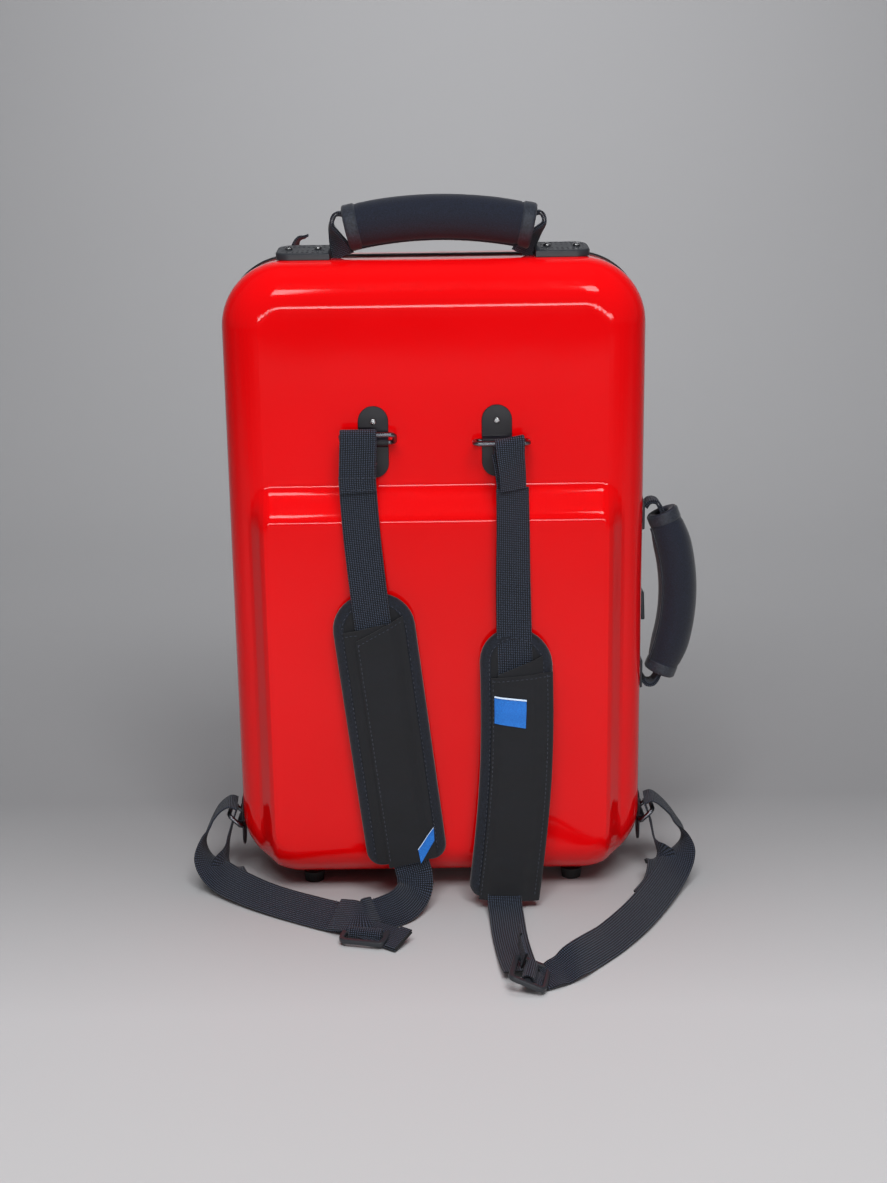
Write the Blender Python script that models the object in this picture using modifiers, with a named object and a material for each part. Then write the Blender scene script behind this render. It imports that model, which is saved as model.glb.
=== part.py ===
"""Hard-shell instrument case with two carry handles and a pair of backpack straps.

The case stands upright on its feet. The strap side faces -Y, the lid is on the +Y side and
swings about a vertical hinge line on the -X side. The latch and the side handle are on +X.
Metres, +Z up, the floor at z = 0.
"""

import math

import bmesh
import bpy
from mathutils import Matrix, Vector

# The origin is under the middle of the hard case and its handles.
CASE_X = -0.0183
CASE_Y = 0.0152

# Shell
WIDTH = 0.360
BOTTOM = 0.010
TOP = 0.557
REAR_DEPTH = 0.088
LID_DEPTH = 0.085
CORNER_R = 0.055
EDGE_R = 0.038
WALL = 0.003
GAP = 0.0003
FLOOR_GAP = 0.0004

# Raised panel on the strap side
PANEL_HALF = 0.151
PANEL_OUT = 0.016
PANEL_TOP = 0.371
PANEL_SLOPE = 0.030
PANEL_SIDE_SLOPE = 0.007

# Rims and seal along the parting plane y = 0
RIM_PROUD = 0.0015
RIM_IN = 0.006
RIM_NEAR = 0.0012
RIM_FAR = 0.0075
SEAL_HALF = 0.0009

# Foam liners
LINER_RECESS = 0.009
CAVITY_MARGIN = 0.022

# Handles
HANDLE_Y = -0.030
GRIP_R = 0.0180
GRIP_WALL = 0.0075
TOP_AXIS_Z = TOP + 0.0060
TOP_PLATE_X = 0.110
TOP_PLATE_LENGTH = 0.046
TOP_PLATE_DEPTH = 0.044
TOP_PLATE_HEIGHT = 0.008
SIDE_AXIS_X = WIDTH / 2 + 0.0082
SIDE_MID_Z = 0.259
SIDE_PLATE_Z = (SIDE_MID_Z - 0.073, SIDE_MID_Z + 0.073)

# Strap anchors and rings
ANCHOR_X = 0.052
ANCHOR_Z = 0.408
ANCHOR_WIDTH = 0.0255
ANCHOR_LENGTH = 0.061
SIDE_ANCHOR_Y = -0.040
SIDE_ANCHOR_Z = 0.050
SIDE_ANCHOR_LENGTH = 0.046
STEEL = 0.0018
RING_AXIS = 0.0027
RING_WIRE = 0.0020
RING_WIDE = 0.049
RING_DEEP = 0.0180
SIDE_RING_WIDE = 0.036
SIDE_RING_DEEP = 0.0150
LEFT_RING_TILT = math.radians(30)
RIGHT_RING_TILT = math.radians(2)
SIDE_RING_TILT = math.radians(45)

# Webbing and pads
WEBBING = 0.030
DOUBLED = 0.0030
PAD_LENGTH = 0.243
PAD_WIDTH = 0.066
PAD_THICK = 0.013

# Hinges and latch
HINGE_X = -0.1838
HINGE_Z = (0.130, 0.437)
HINGE_LENGTH = 0.042
KNUCKLE_R = 0.0020
LATCH_Z = 0.2300
LEVER_Z = 0.2440
LEVER_AXIS = (0.1846, -0.0205)

for old in list(bpy.data.objects):
    bpy.data.objects.remove(old, do_unlink=True)

parts = bpy.data.collections.new("instrument_case")
cutters = bpy.data.collections.new("cutters")
for group in (parts, cutters):
    bpy.context.scene.collection.children.link(group)


def paint(name, colour, roughness, metallic=0.0):
    material = bpy.data.materials.new(name)
    material.use_nodes = True
    shader = material.node_tree.nodes["Principled BSDF"]
    shader.inputs["Base Color"].default_value = (*colour, 1.0)
    shader.inputs["Roughness"].default_value = roughness
    shader.inputs["Metallic"].default_value = metallic
    material.diffuse_color = (*colour, 1.0)
    return material


RED_GELCOAT = paint("red_gelcoat", (0.68, 0.004, 0.006), 0.12)
BLACK_TRIM = paint("black_trim", (0.012, 0.012, 0.014), 0.40)
SEAL_RUBBER = paint("seal_rubber", (0.020, 0.020, 0.022), 0.70)
PLUSH = paint("plush_foam", (0.030, 0.030, 0.036), 0.95)
BLACK_PLASTIC = paint("black_plastic", (0.022, 0.024, 0.027), 0.45)
BLACK_STEEL = paint("black_steel", (0.018, 0.017, 0.020), 0.35, 0.6)
GUNMETAL = paint("gunmetal", (0.16, 0.16, 0.17), 0.28, 1.0)
BRIGHT_STEEL = paint("bright_steel", (0.55, 0.55, 0.56), 0.25, 1.0)
NEOPRENE = paint("neoprene", (0.012, 0.014, 0.024), 0.80)
WEBBING_NYLON = paint("webbing_nylon", (0.011, 0.013, 0.020), 0.75)
PAD_TWILL = paint("pad_twill", (0.006, 0.007, 0.012), 0.90)
FOOT_RUBBER = paint("foot_rubber", (0.015, 0.015, 0.016), 0.80)


def pivot(name, place):
    """An empty in the case's frame, for pieces that turn together."""
    empty = bpy.data.objects.new(name, None)
    parts.objects.link(empty)
    empty.location = place
    if name != "case_frame":
        empty.parent = frame
    return empty


frame = pivot("case_frame", (CASE_X, CASE_Y, 0))
empties = {"case": frame}


def place(obj, material, parent="case", smooth=True):
    """Puts a piece, drawn in the case's frame, under its body's empty."""
    parts.objects.link(obj)
    if material:
        obj.data.materials.append(material)
    holder = empties[parent]
    obj.parent = holder
    if holder is not frame:
        obj.location = Vector(obj.location) - holder.location
    if smooth and obj.type == "MESH":
        obj.data.shade_smooth()
        obj.data.set_sharp_from_angle(angle=math.radians(40))
    return obj


def as_cutter(obj):
    cutters.objects.link(obj)
    obj.hide_render = True
    obj.display_type = "WIRE"
    obj.parent = frame
    return obj


def mesh_object(name, bm):
    mesh = bpy.data.meshes.new(name)
    bmesh.ops.recalc_face_normals(bm, faces=bm.faces)
    bm.to_mesh(mesh)
    bm.free()
    return bpy.data.objects.new(name, mesh)


def boolean(obj, operation, other):
    modifier = obj.modifiers.new(operation.lower(), "BOOLEAN")
    modifier.operation = operation
    modifier.object = other
    modifier.solver = "EXACT"
    return obj


def cube_mesh(low, high):
    bm = bmesh.new()
    size = Vector(high) - Vector(low)
    middle = (Vector(high) + Vector(low)) / 2
    bmesh.ops.create_cube(bm, size=1.0)
    bmesh.ops.transform(
        bm, verts=bm.verts, matrix=Matrix.Translation(middle) @ Matrix.Diagonal((*size, 1))
    )
    return bm


def box(name, low, high, radius=0.0, segments=2):
    """A block between two corners, with all its edges rounded."""
    bm = cube_mesh(low, high)
    if radius:
        bmesh.ops.bevel(
            bm, geom=list(bm.edges), offset=radius, segments=segments, profile=0.5, affect="EDGES"
        )
    return mesh_object(name, bm)


def runs_along_y(edge):
    a, b = (v.co for v in edge.verts)
    return abs(a.y - b.y) > 1e-4


def moulded_block(name, half, low, high, y_open, y_face, corner, edge, corner_steps=6):
    """A block with rounded corners in the XZ plane and a rounded edge round its face at y_face."""
    y_low, y_high = sorted((y_open, y_face))
    bm = cube_mesh((-half, y_low, low), (half, y_high, high))
    sides = [e for e in bm.edges if runs_along_y(e)]
    bmesh.ops.bevel(
        bm, geom=sides, offset=corner, segments=corner_steps, profile=0.5, affect="EDGES"
    )
    if edge:
        rim = [
            e
            for e in bm.edges
            if all(abs(v.co.y - y_face) < 1e-5 for v in e.verts) and len(e.link_faces) == 2
        ]
        bmesh.ops.bevel(bm, geom=rim, offset=edge, segments=5, profile=0.5, affect="EDGES")
    return mesh_object(name, bm)


def panel_block(name, inset):
    """The raised panel: a tapered block with rounded lower corners, sunk into the shell."""
    y_face = -REAR_DEPTH - PANEL_OUT + inset
    y_root = -REAR_DEPTH + 0.020
    grow = (y_root - y_face) / PANEL_OUT
    half = PANEL_HALF - PANEL_SIDE_SLOPE - inset
    top = PANEL_TOP - PANEL_SLOPE - inset * 0.5
    bottom = BOTTOM + 0.0006 + inset
    bm = cube_mesh((-half, y_face, bottom), (half, y_root, top))
    for v in bm.verts:
        if v.co.y > y_face + 1e-5:
            v.co.x += math.copysign(PANEL_SIDE_SLOPE * grow, v.co.x)
            if v.co.z > top - 1e-5:
                v.co.z += PANEL_SLOPE * grow
    lower = [e for e in bm.edges if runs_along_y(e) and all(v.co.z < 0.1 for v in e.verts)]
    upper = [e for e in bm.edges if runs_along_y(e) and e not in lower]
    bmesh.ops.bevel(bm, geom=lower, offset=0.034, segments=5, profile=0.5, affect="EDGES")
    upper = [
        e
        for e in bm.edges
        if runs_along_y(e) and max(v.co.z for v in e.verts) > top - 1e-4
    ]
    bmesh.ops.bevel(bm, geom=upper, offset=0.016, segments=4, profile=0.5, affect="EDGES")
    face = [e for e in bm.edges if all(abs(v.co.y - y_face) < 1e-5 for v in e.verts)]
    bmesh.ops.bevel(bm, geom=face, offset=0.012 - inset, segments=3, profile=0.5, affect="EDGES")
    return mesh_object(name, bm)


def rounded_outline(inset, steps=6):
    """The case's outline in the XZ plane, drawn that far inside the outer wall."""
    half, low, high = WIDTH / 2 - inset, BOTTOM + inset, TOP - inset
    radius = CORNER_R - inset
    corners = (
        (half - radius, high - radius, 0),
        (-half + radius, high - radius, 90),
        (-half + radius, low + radius, 180),
        (half - radius, low + radius, 270),
    )
    points = []
    for x, z, start in corners:
        for i in range(steps + 1):
            a = math.radians(start + 90 * i / steps)
            points.append((x + radius * math.cos(a), z + radius * math.sin(a)))
    return points


def flat_plate(name, outlines, y_low, y_high):
    """A flat outline in the XZ plane, with any holes, between two depths."""
    curve = bpy.data.curves.new(name, "CURVE")
    curve.dimensions = "2D"
    curve.fill_mode = "BOTH"
    curve.extrude = (y_high - y_low) / 2
    for outline in outlines:
        spline = curve.splines.new("POLY")
        spline.points.add(len(outline) - 1)
        spline.use_cyclic_u = True
        for point, (x, z) in zip(spline.points, outline):
            point.co = (x, z, 0, 1)
    obj = bpy.data.objects.new(name, curve)
    obj.location = (0, (y_low + y_high) / 2, 0)
    obj.rotation_euler = (math.pi / 2, 0, 0)
    return obj


def stadium(width, length, steps=8):
    """A plate outline with two round ends, standing on end about the origin."""
    radius = width / 2
    points = []
    for middle, start in (((length - width) / 2, 0), (-(length - width) / 2, 180)):
        for i in range(steps + 1):
            a = math.radians(start + 180 * i / steps)
            points.append((radius * math.cos(a), middle + radius * math.sin(a)))
    return points


def tube(name, points, radius, closed=False):
    """Round wire or tube along the points, with filled ends."""
    curve = bpy.data.curves.new(name, "CURVE")
    curve.dimensions = "3D"
    curve.bevel_depth = radius
    curve.bevel_resolution = 2
    curve.use_fill_caps = not closed
    spline = curve.splines.new("POLY")
    spline.points.add(len(points) - 1)
    spline.use_cyclic_u = closed
    for point, co in zip(spline.points, points):
        point.co = (*co, 1)
    return bpy.data.objects.new(name, curve)


def smooth_route(points, steps=3):
    """Points along a Catmull-Rom curve through the route's own points."""
    route = [Vector(p) for p in points]
    ends = [2 * route[0] - route[1], *route, 2 * route[-1] - route[-2]]
    found = []
    for a, b, c, d in zip(ends, ends[1:], ends[2:], ends[3:]):
        for i in range(steps):
            t = i / steps
            found.append(
                0.5
                * (
                    2 * b
                    + (c - a) * t
                    + (2 * a - 5 * b + 4 * c - d) * t**2
                    + (3 * b - a - 3 * c + d) * t**3
                )
            )
    found.append(route[-1])
    return found


def ribbon(name, points, across, widths, thickness, on_floor=False):
    """Flat webbing or strip: an edge swept along the points, then given its thickness."""
    bm = bmesh.new()
    rows = []
    points = [Vector(point) for point in points]
    for i in range(len(points)):
        ahead = points[min(i + 1, len(points) - 1)] - points[max(i - 1, 0)]
        side = Vector(across[i]) - Vector(across[i]).project(ahead)
        side.normalize()
        half = widths[i] / 2
        point = points[i]
        if on_floor:
            through = side.cross(ahead).normalized()
            reach = abs(side.z) * half + abs(through.z) * thickness * 0.75
            point.z = max(point.z, reach + FLOOR_GAP)
        rows.append([bm.verts.new(point - side * half), bm.verts.new(point + side * half)])
    for before, after in zip(rows, rows[1:]):
        bm.faces.new((before[0], before[1], after[1], after[0]))
    obj = mesh_object(name, bm)
    shell = obj.modifiers.new("thickness", "SOLIDIFY")
    shell.thickness = thickness
    shell.offset = 0.0
    return obj


def strap(name, stations):
    """Webbing through stations of (point, direction across it)."""
    points = smooth_route([s[0] for s in stations])
    across = smooth_route([s[1] for s in stations])
    return ribbon(name, points, across, [WEBBING] * len(points), DOUBLED, on_floor=True)


def pan_head(name, radius=0.0034, height=0.0022, segments=14):
    """A screw's domed head, its seat at z = 0."""
    bm = bmesh.new()
    bmesh.ops.create_cone(
        bm, cap_ends=True, segments=segments, radius1=radius, radius2=radius * 0.62, depth=height
    )
    bmesh.ops.translate(bm, verts=bm.verts, vec=(0, 0, height / 2))
    return mesh_object(name, bm)


def cylinder(name, middle, radius, length, axis="Z", segments=16):
    bm = bmesh.new()
    bmesh.ops.create_cone(
        bm, cap_ends=True, segments=segments, radius1=radius, radius2=radius, depth=length
    )
    if axis != "Z":
        turn = Matrix.Rotation(math.pi / 2, 4, "Y" if axis == "X" else "X")
        bmesh.ops.transform(bm, verts=bm.verts, matrix=turn)
    bmesh.ops.translate(bm, verts=bm.verts, vec=middle)
    return mesh_object(name, bm)


# Shells: a moulded tray each, hollowed to one wall thickness
def tray(name, face, edge, parent):
    """face is the outer depth, negative towards the straps."""
    side = math.copysign(1, face)
    half = WIDTH / 2
    start = side * (RIM_FAR + GAP)
    outer = moulded_block(name, half, BOTTOM, TOP, start, face, CORNER_R, edge)
    inner = as_cutter(
        moulded_block(
            f"{name}_hollow",
            half - WALL,
            BOTTOM + WALL,
            TOP - WALL,
            -side * 0.02,
            face - side * WALL,
            CORNER_R - WALL,
            edge - WALL,
        )
    )
    place(outer, RED_GELCOAT, parent)
    return outer, inner


lid_pivot = pivot("lid_pivot", (HINGE_X, 0, 0))
empties["lid"] = lid_pivot

rear_shell, rear_hollow = tray("rear_shell", -REAR_DEPTH, EDGE_R, "case")
boolean(rear_shell, "UNION", as_cutter(panel_block("panel_outside", 0.0)))
boolean(rear_shell, "DIFFERENCE", rear_hollow)
boolean(rear_shell, "DIFFERENCE", as_cutter(panel_block("panel_inside", WALL)))

lid_shell, lid_hollow = tray("lid_shell", LID_DEPTH, EDGE_R, "lid")
lid_shell.location = (0, 0, 0)
lid_shell.data.transform(Matrix.Translation((-HINGE_X, 0, 0)))
boolean(lid_shell, "DIFFERENCE", lid_hollow)

# Rims and the seal between them
place(
    flat_plate(
        "rear_rim", [rounded_outline(-RIM_PROUD), rounded_outline(RIM_IN)], -RIM_FAR, -RIM_NEAR
    ),
    BLACK_TRIM,
)
place(
    flat_plate(
        "lid_rim", [rounded_outline(-RIM_PROUD), rounded_outline(RIM_IN)], RIM_NEAR, RIM_FAR
    ),
    BLACK_TRIM,
    "lid",
)
place(
    flat_plate("seal", [rounded_outline(0.0008), rounded_outline(0.0052)], -SEAL_HALF, SEAL_HALF),
    SEAL_RUBBER,
)


def liner(name, face, cavity_depth, parent):
    """Foam that fills a shell, with a recess for the instrument."""
    side = math.copysign(1, face)
    skin = WALL + GAP + 0.0002
    half = WIDTH / 2
    block = moulded_block(
        name,
        half - skin,
        BOTTOM + skin,
        TOP - skin,
        side * LINER_RECESS,
        face - side * skin,
        CORNER_R - skin,
        EDGE_R - skin,
        corner_steps=5,
    )
    margin = skin + CAVITY_MARGIN
    recess = as_cutter(
        moulded_block(
            f"{name}_recess",
            half - margin,
            BOTTOM + margin,
            TOP - margin,
            -side * 0.01,
            side * cavity_depth,
            CORNER_R - CAVITY_MARGIN,
            0.014,
            corner_steps=4,
        )
    )
    boolean(block, "DIFFERENCE", recess)
    place(block, PLUSH, parent)
    if parent == "lid":
        block.location = (0, 0, 0)
        block.data.transform(Matrix.Translation((-HINGE_X, 0, 0)))
    return block


liner("rear_liner", -REAR_DEPTH, 0.070, "case")
liner("lid_liner", LID_DEPTH, 0.067, "lid")

# Feet
FEET = {
    "foot_rear_left": (-0.1165, -0.062, "case"),
    "foot_rear_right": (0.1185, -0.062, "case"),
    "foot_lid_left": (-0.1165, 0.040, "lid"),
    "foot_lid_right": (0.1185, 0.040, "lid"),
}
for name, (x, y, body) in FEET.items():
    bm = bmesh.new()
    height = BOTTOM - GAP - 0.0001
    bmesh.ops.create_cone(
        bm, cap_ends=True, segments=20, radius1=0.0085, radius2=0.0098, depth=height
    )
    bmesh.ops.translate(bm, verts=bm.verts, vec=(0, 0, height / 2))
    foot = mesh_object(name, bm)
    foot.location = (x, y, 0)
    place(foot, FOOT_RUBBER, body)

# Top handle: end plates and their screws on the shell, then the swinging grip
empties["top_handle"] = pivot("top_handle_pivot", (0, HANDLE_Y, TOP_AXIS_Z))
for side, word in ((-1, "left"), (1, "right")):
    middle = side * TOP_PLATE_X
    half_x, half_y = TOP_PLATE_LENGTH / 2, TOP_PLATE_DEPTH / 2
    plate = box(
        f"top_plate_{word}",
        (middle - half_x, HANDLE_Y - half_y, TOP + GAP),
        (middle + half_x, HANDLE_Y + half_y, TOP + GAP + TOP_PLATE_HEIGHT),
        0.0022,
    )
    place(plate, BLACK_PLASTIC)
    for step, place_word in ((-0.0125, "inner"), (0.0125, "outer")):
        screw = pan_head(f"top_screw_{word}_{place_word}")
        screw.location = (middle + side * step, HANDLE_Y, TOP + TOP_PLATE_HEIGHT + 2 * GAP)
        place(screw, BRIGHT_STEEL)


def arch(start, middle, end, steps=12):
    """Points of a flat arch through three points."""
    a, m, b = Vector(start), Vector(middle), Vector(end)
    control = 2 * m - (a + b) / 2
    found = []
    for i in range(steps + 1):
        t = i / steps
        found.append(a * (1 - t) ** 2 + control * 2 * t * (1 - t) + b * t**2)
    return found


def sleeve(name, line, radius, wall, body):
    """A foam grip: an open tube along the line with a wall."""
    grip = tube(name, line, radius)
    grip.data.use_fill_caps = False
    shell = grip.modifiers.new("wall", "SOLIDIFY")
    shell.thickness = wall
    shell.offset = -1.0
    return place(grip, NEOPRENE, body)


def handle_webbing(name, line, across, body):
    """The webbing core of a handle, folded narrow where it meets the end plates."""
    count = len(line)
    widths = []
    for i in range(count):
        from_end = min(i, count - 1 - i)
        widths.append((0.0085, 0.0095, 0.0130, 0.0165, 0.0180)[min(from_end, 4)])
    return place(ribbon(name, line, [across] * count, widths, 0.0028), WEBBING_NYLON, body)


top_line = arch(
    (-0.0770, HANDLE_Y, 0.5820), (0.0030, HANDLE_Y, 0.5915), (0.0830, HANDLE_Y, 0.5820)
)
sleeve("top_grip", top_line, GRIP_R, GRIP_WALL, "top_handle")
top_core = [
    Vector((-0.0853, HANDLE_Y, TOP_AXIS_Z)),
    Vector((-0.0848, HANDLE_Y, TOP_AXIS_Z + 0.0070)),
    Vector((-0.0815, HANDLE_Y, TOP_AXIS_Z + 0.0145)),
    *top_line[1:-1],
    Vector((0.0843, HANDLE_Y, TOP_AXIS_Z + 0.0150)),
    Vector((0.0851, HANDLE_Y, TOP_AXIS_Z + 0.0070)),
    Vector((0.0853, HANDLE_Y, TOP_AXIS_Z)),
]
handle_webbing("top_handle_webbing", top_core, (0, 1, 0), "top_handle")

# Side handle
empties["side_handle"] = pivot("side_handle_pivot", (SIDE_AXIS_X, HANDLE_Y, SIDE_MID_Z))
wall = WIDTH / 2 + GAP
for z, word in zip(SIDE_PLATE_Z, ("lower", "upper")):
    plate = box(
        f"side_plate_{word}",
        (wall, HANDLE_Y - 0.013, z - 0.013),
        (wall + 0.0030, HANDLE_Y + 0.013, z + 0.013),
        0.0012,
    )
    place(plate, BLACK_PLASTIC)
side_line = arch(
    (0.2015, HANDLE_Y, SIDE_MID_Z - 0.067),
    (0.2155, HANDLE_Y, SIDE_MID_Z),
    (0.2015, HANDLE_Y, SIDE_MID_Z + 0.067),
)
sleeve("side_grip", side_line, 0.0165, 0.0065, "side_handle")
side_core = [
    Vector((SIDE_AXIS_X, HANDLE_Y, SIDE_MID_Z - 0.0795)),
    Vector((SIDE_AXIS_X + 0.0050, HANDLE_Y, SIDE_MID_Z - 0.0775)),
    Vector((SIDE_AXIS_X + 0.0100, HANDLE_Y, SIDE_MID_Z - 0.0715)),
    *side_line[1:-1],
    Vector((SIDE_AXIS_X + 0.0100, HANDLE_Y, SIDE_MID_Z + 0.0715)),
    Vector((SIDE_AXIS_X + 0.0050, HANDLE_Y, SIDE_MID_Z + 0.0775)),
    Vector((SIDE_AXIS_X, HANDLE_Y, SIDE_MID_Z + 0.0795)),
]
handle_webbing("side_handle_webbing", side_core, (0, 1, 0), "side_handle")


# Strap anchors: a bent steel plate with a bridge that holds the ring's bar
def anchor_plate(name, width, length, to_case):
    """A plate in its own frame: seat at z = 0, long side along Y, the bridge across X."""
    lift = GAP + STEEL / 2
    bend = RING_WIRE + 0.0006 + STEEL / 2
    path = [Vector((0, length / 2, lift)), Vector((0, bend + 0.0016, lift))]
    for i in range(9):
        a = math.radians(180 * i / 8)
        height = max(RING_AXIS + bend * math.sin(a), lift + 0.0006)
        path.append(Vector((0, bend * math.cos(a), height)))
    path += [Vector((0, -bend - 0.0016, lift)), Vector((0, -length / 2, lift))]
    plate = ribbon(name, path, [(1, 0, 0)] * len(path), [width] * len(path), STEEL)
    outline = bmesh.new()
    bmesh.ops.create_circle(outline, cap_ends=True, segments=24, radius=width / 2)
    for v in outline.verts:
        v.co.y += math.copysign((length - width) / 2, v.co.y + 1e-6)
        v.co.z -= 0.002
    walls = bmesh.ops.extrude_face_region(outline, geom=list(outline.faces))
    raised = [v for v in walls["geom"] if isinstance(v, bmesh.types.BMVert)]
    bmesh.ops.translate(outline, verts=raised, vec=(0, 0, 0.014))
    trim = as_cutter(mesh_object(f"{name}_outline", outline))
    for obj in (plate, trim):
        obj.matrix_local = to_case
    boolean(plate, "INTERSECT", trim)
    place(plate, BLACK_STEEL)
    return plate


def ring(name, wide, deep, tilt, place_at, turn, body):
    """A rounded wire ring whose bar lies on the joint's axis, in the body's own frame."""
    corner = 0.0045
    half = wide / 2 - RING_WIRE
    points = []
    for x, y, start in (
        (half - corner, corner, 270),
        (half - corner, deep - corner, 0),
        (-half + corner, deep - corner, 90),
        (-half + corner, corner, 180),
    ):
        for i in range(5):
            a = math.radians(start + 90 * i / 4)
            points.append(Vector((x + corner * math.cos(a), y + corner * math.sin(a), 0)))
    lean = turn @ Matrix.Rotation(tilt, 4, "X")
    obj = tube(name, [lean @ p for p in points], RING_WIRE, closed=True)
    obj.location = place_at
    return place(obj, GUNMETAL, body)


# Local axes of an anchor on the strap side: X across, Y up the case, Z away from it
FRONT = Matrix(((1, 0, 0, 0), (0, 0, -1, -REAR_DEPTH), (0, 1, 0, 0), (0, 0, 0, 1)))
# A ring is drawn with its bar along X and its far side at +Y; this points it out of the case
OUTWARD = Matrix(((1, 0, 0, 0), (0, -1, 0, 0), (0, 0, -1, 0), (0, 0, 0, 1)))
for side, word, tilt, shift in (
    (-1, "left", LEFT_RING_TILT, -0.0042),
    (1, "right", RIGHT_RING_TILT, 0.0035),
):
    middle = side * ANCHOR_X
    anchor_plate(
        f"anchor_{word}",
        ANCHOR_WIDTH,
        ANCHOR_LENGTH,
        Matrix.Translation((middle, 0, ANCHOR_Z)) @ FRONT,
    )
    for step, place_word in ((0.0175, "upper"), (-0.0175, "lower")):
        screw = pan_head(f"anchor_screw_{word}_{place_word}")
        screw.rotation_euler = (math.pi / 2, 0, 0)
        screw.location = (middle, -REAR_DEPTH - STEEL - 2 * GAP, ANCHOR_Z + step)
        place(screw, BLACK_STEEL)
    axis = (middle + shift, -REAR_DEPTH - RING_AXIS, ANCHOR_Z)
    empties[f"ring_{word}"] = pivot(f"ring_{word}_pivot", axis)
    ring(f"ring_{word}", RING_WIDE, RING_DEEP, -tilt, axis, OUTWARD, f"ring_{word}")

for side, word in ((-1, "left"), (1, "right")):
    # Local X runs along the case's depth and local Z out of its side wall.
    outward = Matrix(
        (
            (0, 0, side, side * WIDTH / 2),
            (side, 0, 0, SIDE_ANCHOR_Y),
            (0, 1, 0, SIDE_ANCHOR_Z),
            (0, 0, 0, 1),
        )
    )
    anchor_plate(f"side_anchor_{word}", 0.022, SIDE_ANCHOR_LENGTH, outward)
    screw = pan_head(f"side_screw_{word}", 0.0030, 0.0020)
    screw.rotation_euler = (0, side * math.pi / 2, 0)
    screw.location = (
        side * (WIDTH / 2 + STEEL + 2 * GAP),
        SIDE_ANCHOR_Y,
        SIDE_ANCHOR_Z + 0.0135,
    )
    place(screw, BRIGHT_STEEL)
    axis = (side * (WIDTH / 2 + RING_AXIS), SIDE_ANCHOR_Y, SIDE_ANCHOR_Z)
    body = f"side_ring_{word}"
    empties[body] = pivot(f"{body}_pivot", axis)
    turn = Matrix.Rotation(-side * math.pi / 2, 4, "Z")
    ring(body, SIDE_RING_WIDE, SIDE_RING_DEEP, SIDE_RING_TILT, axis, turn, body)

# Backpack straps. Each station is a point on the webbing and the direction across it.
ACROSS = (1, 0, 0)
place(
    strap(
        "loop_left",
        (
            ((-0.0640, -0.1062, 0.4132), ACROSS),
            ((-0.0648, -0.1072, 0.4000), ACROSS),
            ((-0.0656, -0.1078, 0.3817), ACROSS),
        ),
    ),
    WEBBING_NYLON,
    "ring_left",
)
place(
    strap(
        "strap_upper_left",
        (
            ((-0.0656, -0.1080, 0.3796), ACROSS),
            ((-0.0636, -0.1100, 0.3450), ACROSS),
            ((-0.0606, -0.1115, 0.3120), ACROSS),
            ((-0.0578, -0.1120, 0.2815), ACROSS),
        ),
    ),
    WEBBING_NYLON,
)
place(
    strap(
        "loop_right",
        (
            ((0.0610, -0.1092, 0.4034), (1, 0.25, 0)),
            ((0.0625, -0.1090, 0.3900), (1, 0.35, 0)),
            ((0.0640, -0.1085, 0.3730), (1, 0.40, 0)),
        ),
    ),
    WEBBING_NYLON,
    "ring_right",
)
place(
    strap(
        "strap_upper_right",
        (
            ((0.0641, -0.1086, 0.3700), (1, 0.40, 0)),
            ((0.0645, -0.1125, 0.3350), (1, 0.30, 0)),
            ((0.0643, -0.1130, 0.2950), (1, 0.15, 0)),
            ((0.0648, -0.1130, 0.2522), ACROSS),
        ),
    ),
    WEBBING_NYLON,
)


def pad(name, top, bottom, thick=PAD_THICK):
    """A padded shoulder piece between two points on its middle line."""
    top, bottom = Vector(top), Vector(bottom)
    along = (top - bottom).normalized()
    out = Vector((0, -1, 0))
    out = (out - out.project(along)).normalized()
    side = out.cross(along) * -1
    half = PAD_WIDTH / 2
    length = (top - bottom).length
    bm = cube_mesh((-half, -thick / 2, -length / 2), (half, thick / 2, length / 2))
    ends = [e for e in bm.edges if runs_along_y(e)]
    bmesh.ops.bevel(bm, geom=ends, offset=0.019, segments=4, profile=0.5, affect="EDGES")
    obj = mesh_object(name, bm)
    turn = Matrix((side, -out, along)).transposed().to_4x4()
    obj.matrix_local = Matrix.Translation((top + bottom) / 2) @ turn
    place(obj, PAD_TWILL)
    return obj


pad("pad_left", (-0.0578, -0.1125, 0.2808), (-0.0290, -0.1165, 0.0385))
pad("pad_right", (0.0658, -0.1125, 0.2492), (0.0545, -0.1260, 0.0085))

place(
    strap(
        "strap_lower_left",
        (
            ((-0.0240, -0.1178, 0.0372), ACROSS),
            ((-0.0205, -0.1240, 0.0240), (1, 0.2, 0)),
            ((-0.0235, -0.1365, 0.0130), (0.8, -0.3, 0.3)),
            ((-0.0360, -0.1560, 0.0090), (0.4, 0.6, 0.25)),
            ((-0.0560, -0.1680, 0.0090), (0.2, 0.8, 0.45)),
            ((-0.0850, -0.1680, 0.0090), (0.1, 0.8, 0.45)),
            ((-0.1210, -0.1450, 0.0090), (0.4, 0.75, 0.45)),
            ((-0.1520, -0.1240, 0.0092), (0.5, 0.75, 0.45)),
            ((-0.1760, -0.1060, 0.0110), (0.5, 0.75, 0.50)),
            ((-0.1970, -0.0880, 0.0145), (0.3, 0.80, 0.50)),
            ((-0.2110, -0.0740, 0.0240), (0.1, 0.90, 0.30)),
            ((-0.2150, -0.0600, 0.0370), (0, 1, 0.2)),
            ((-0.2110, -0.0480, 0.0500), (0, 1, 0)),
            ((-0.2030, -0.0420, 0.0585), (0, 1, 0)),
        ),
    ),
    WEBBING_NYLON,
)
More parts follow.
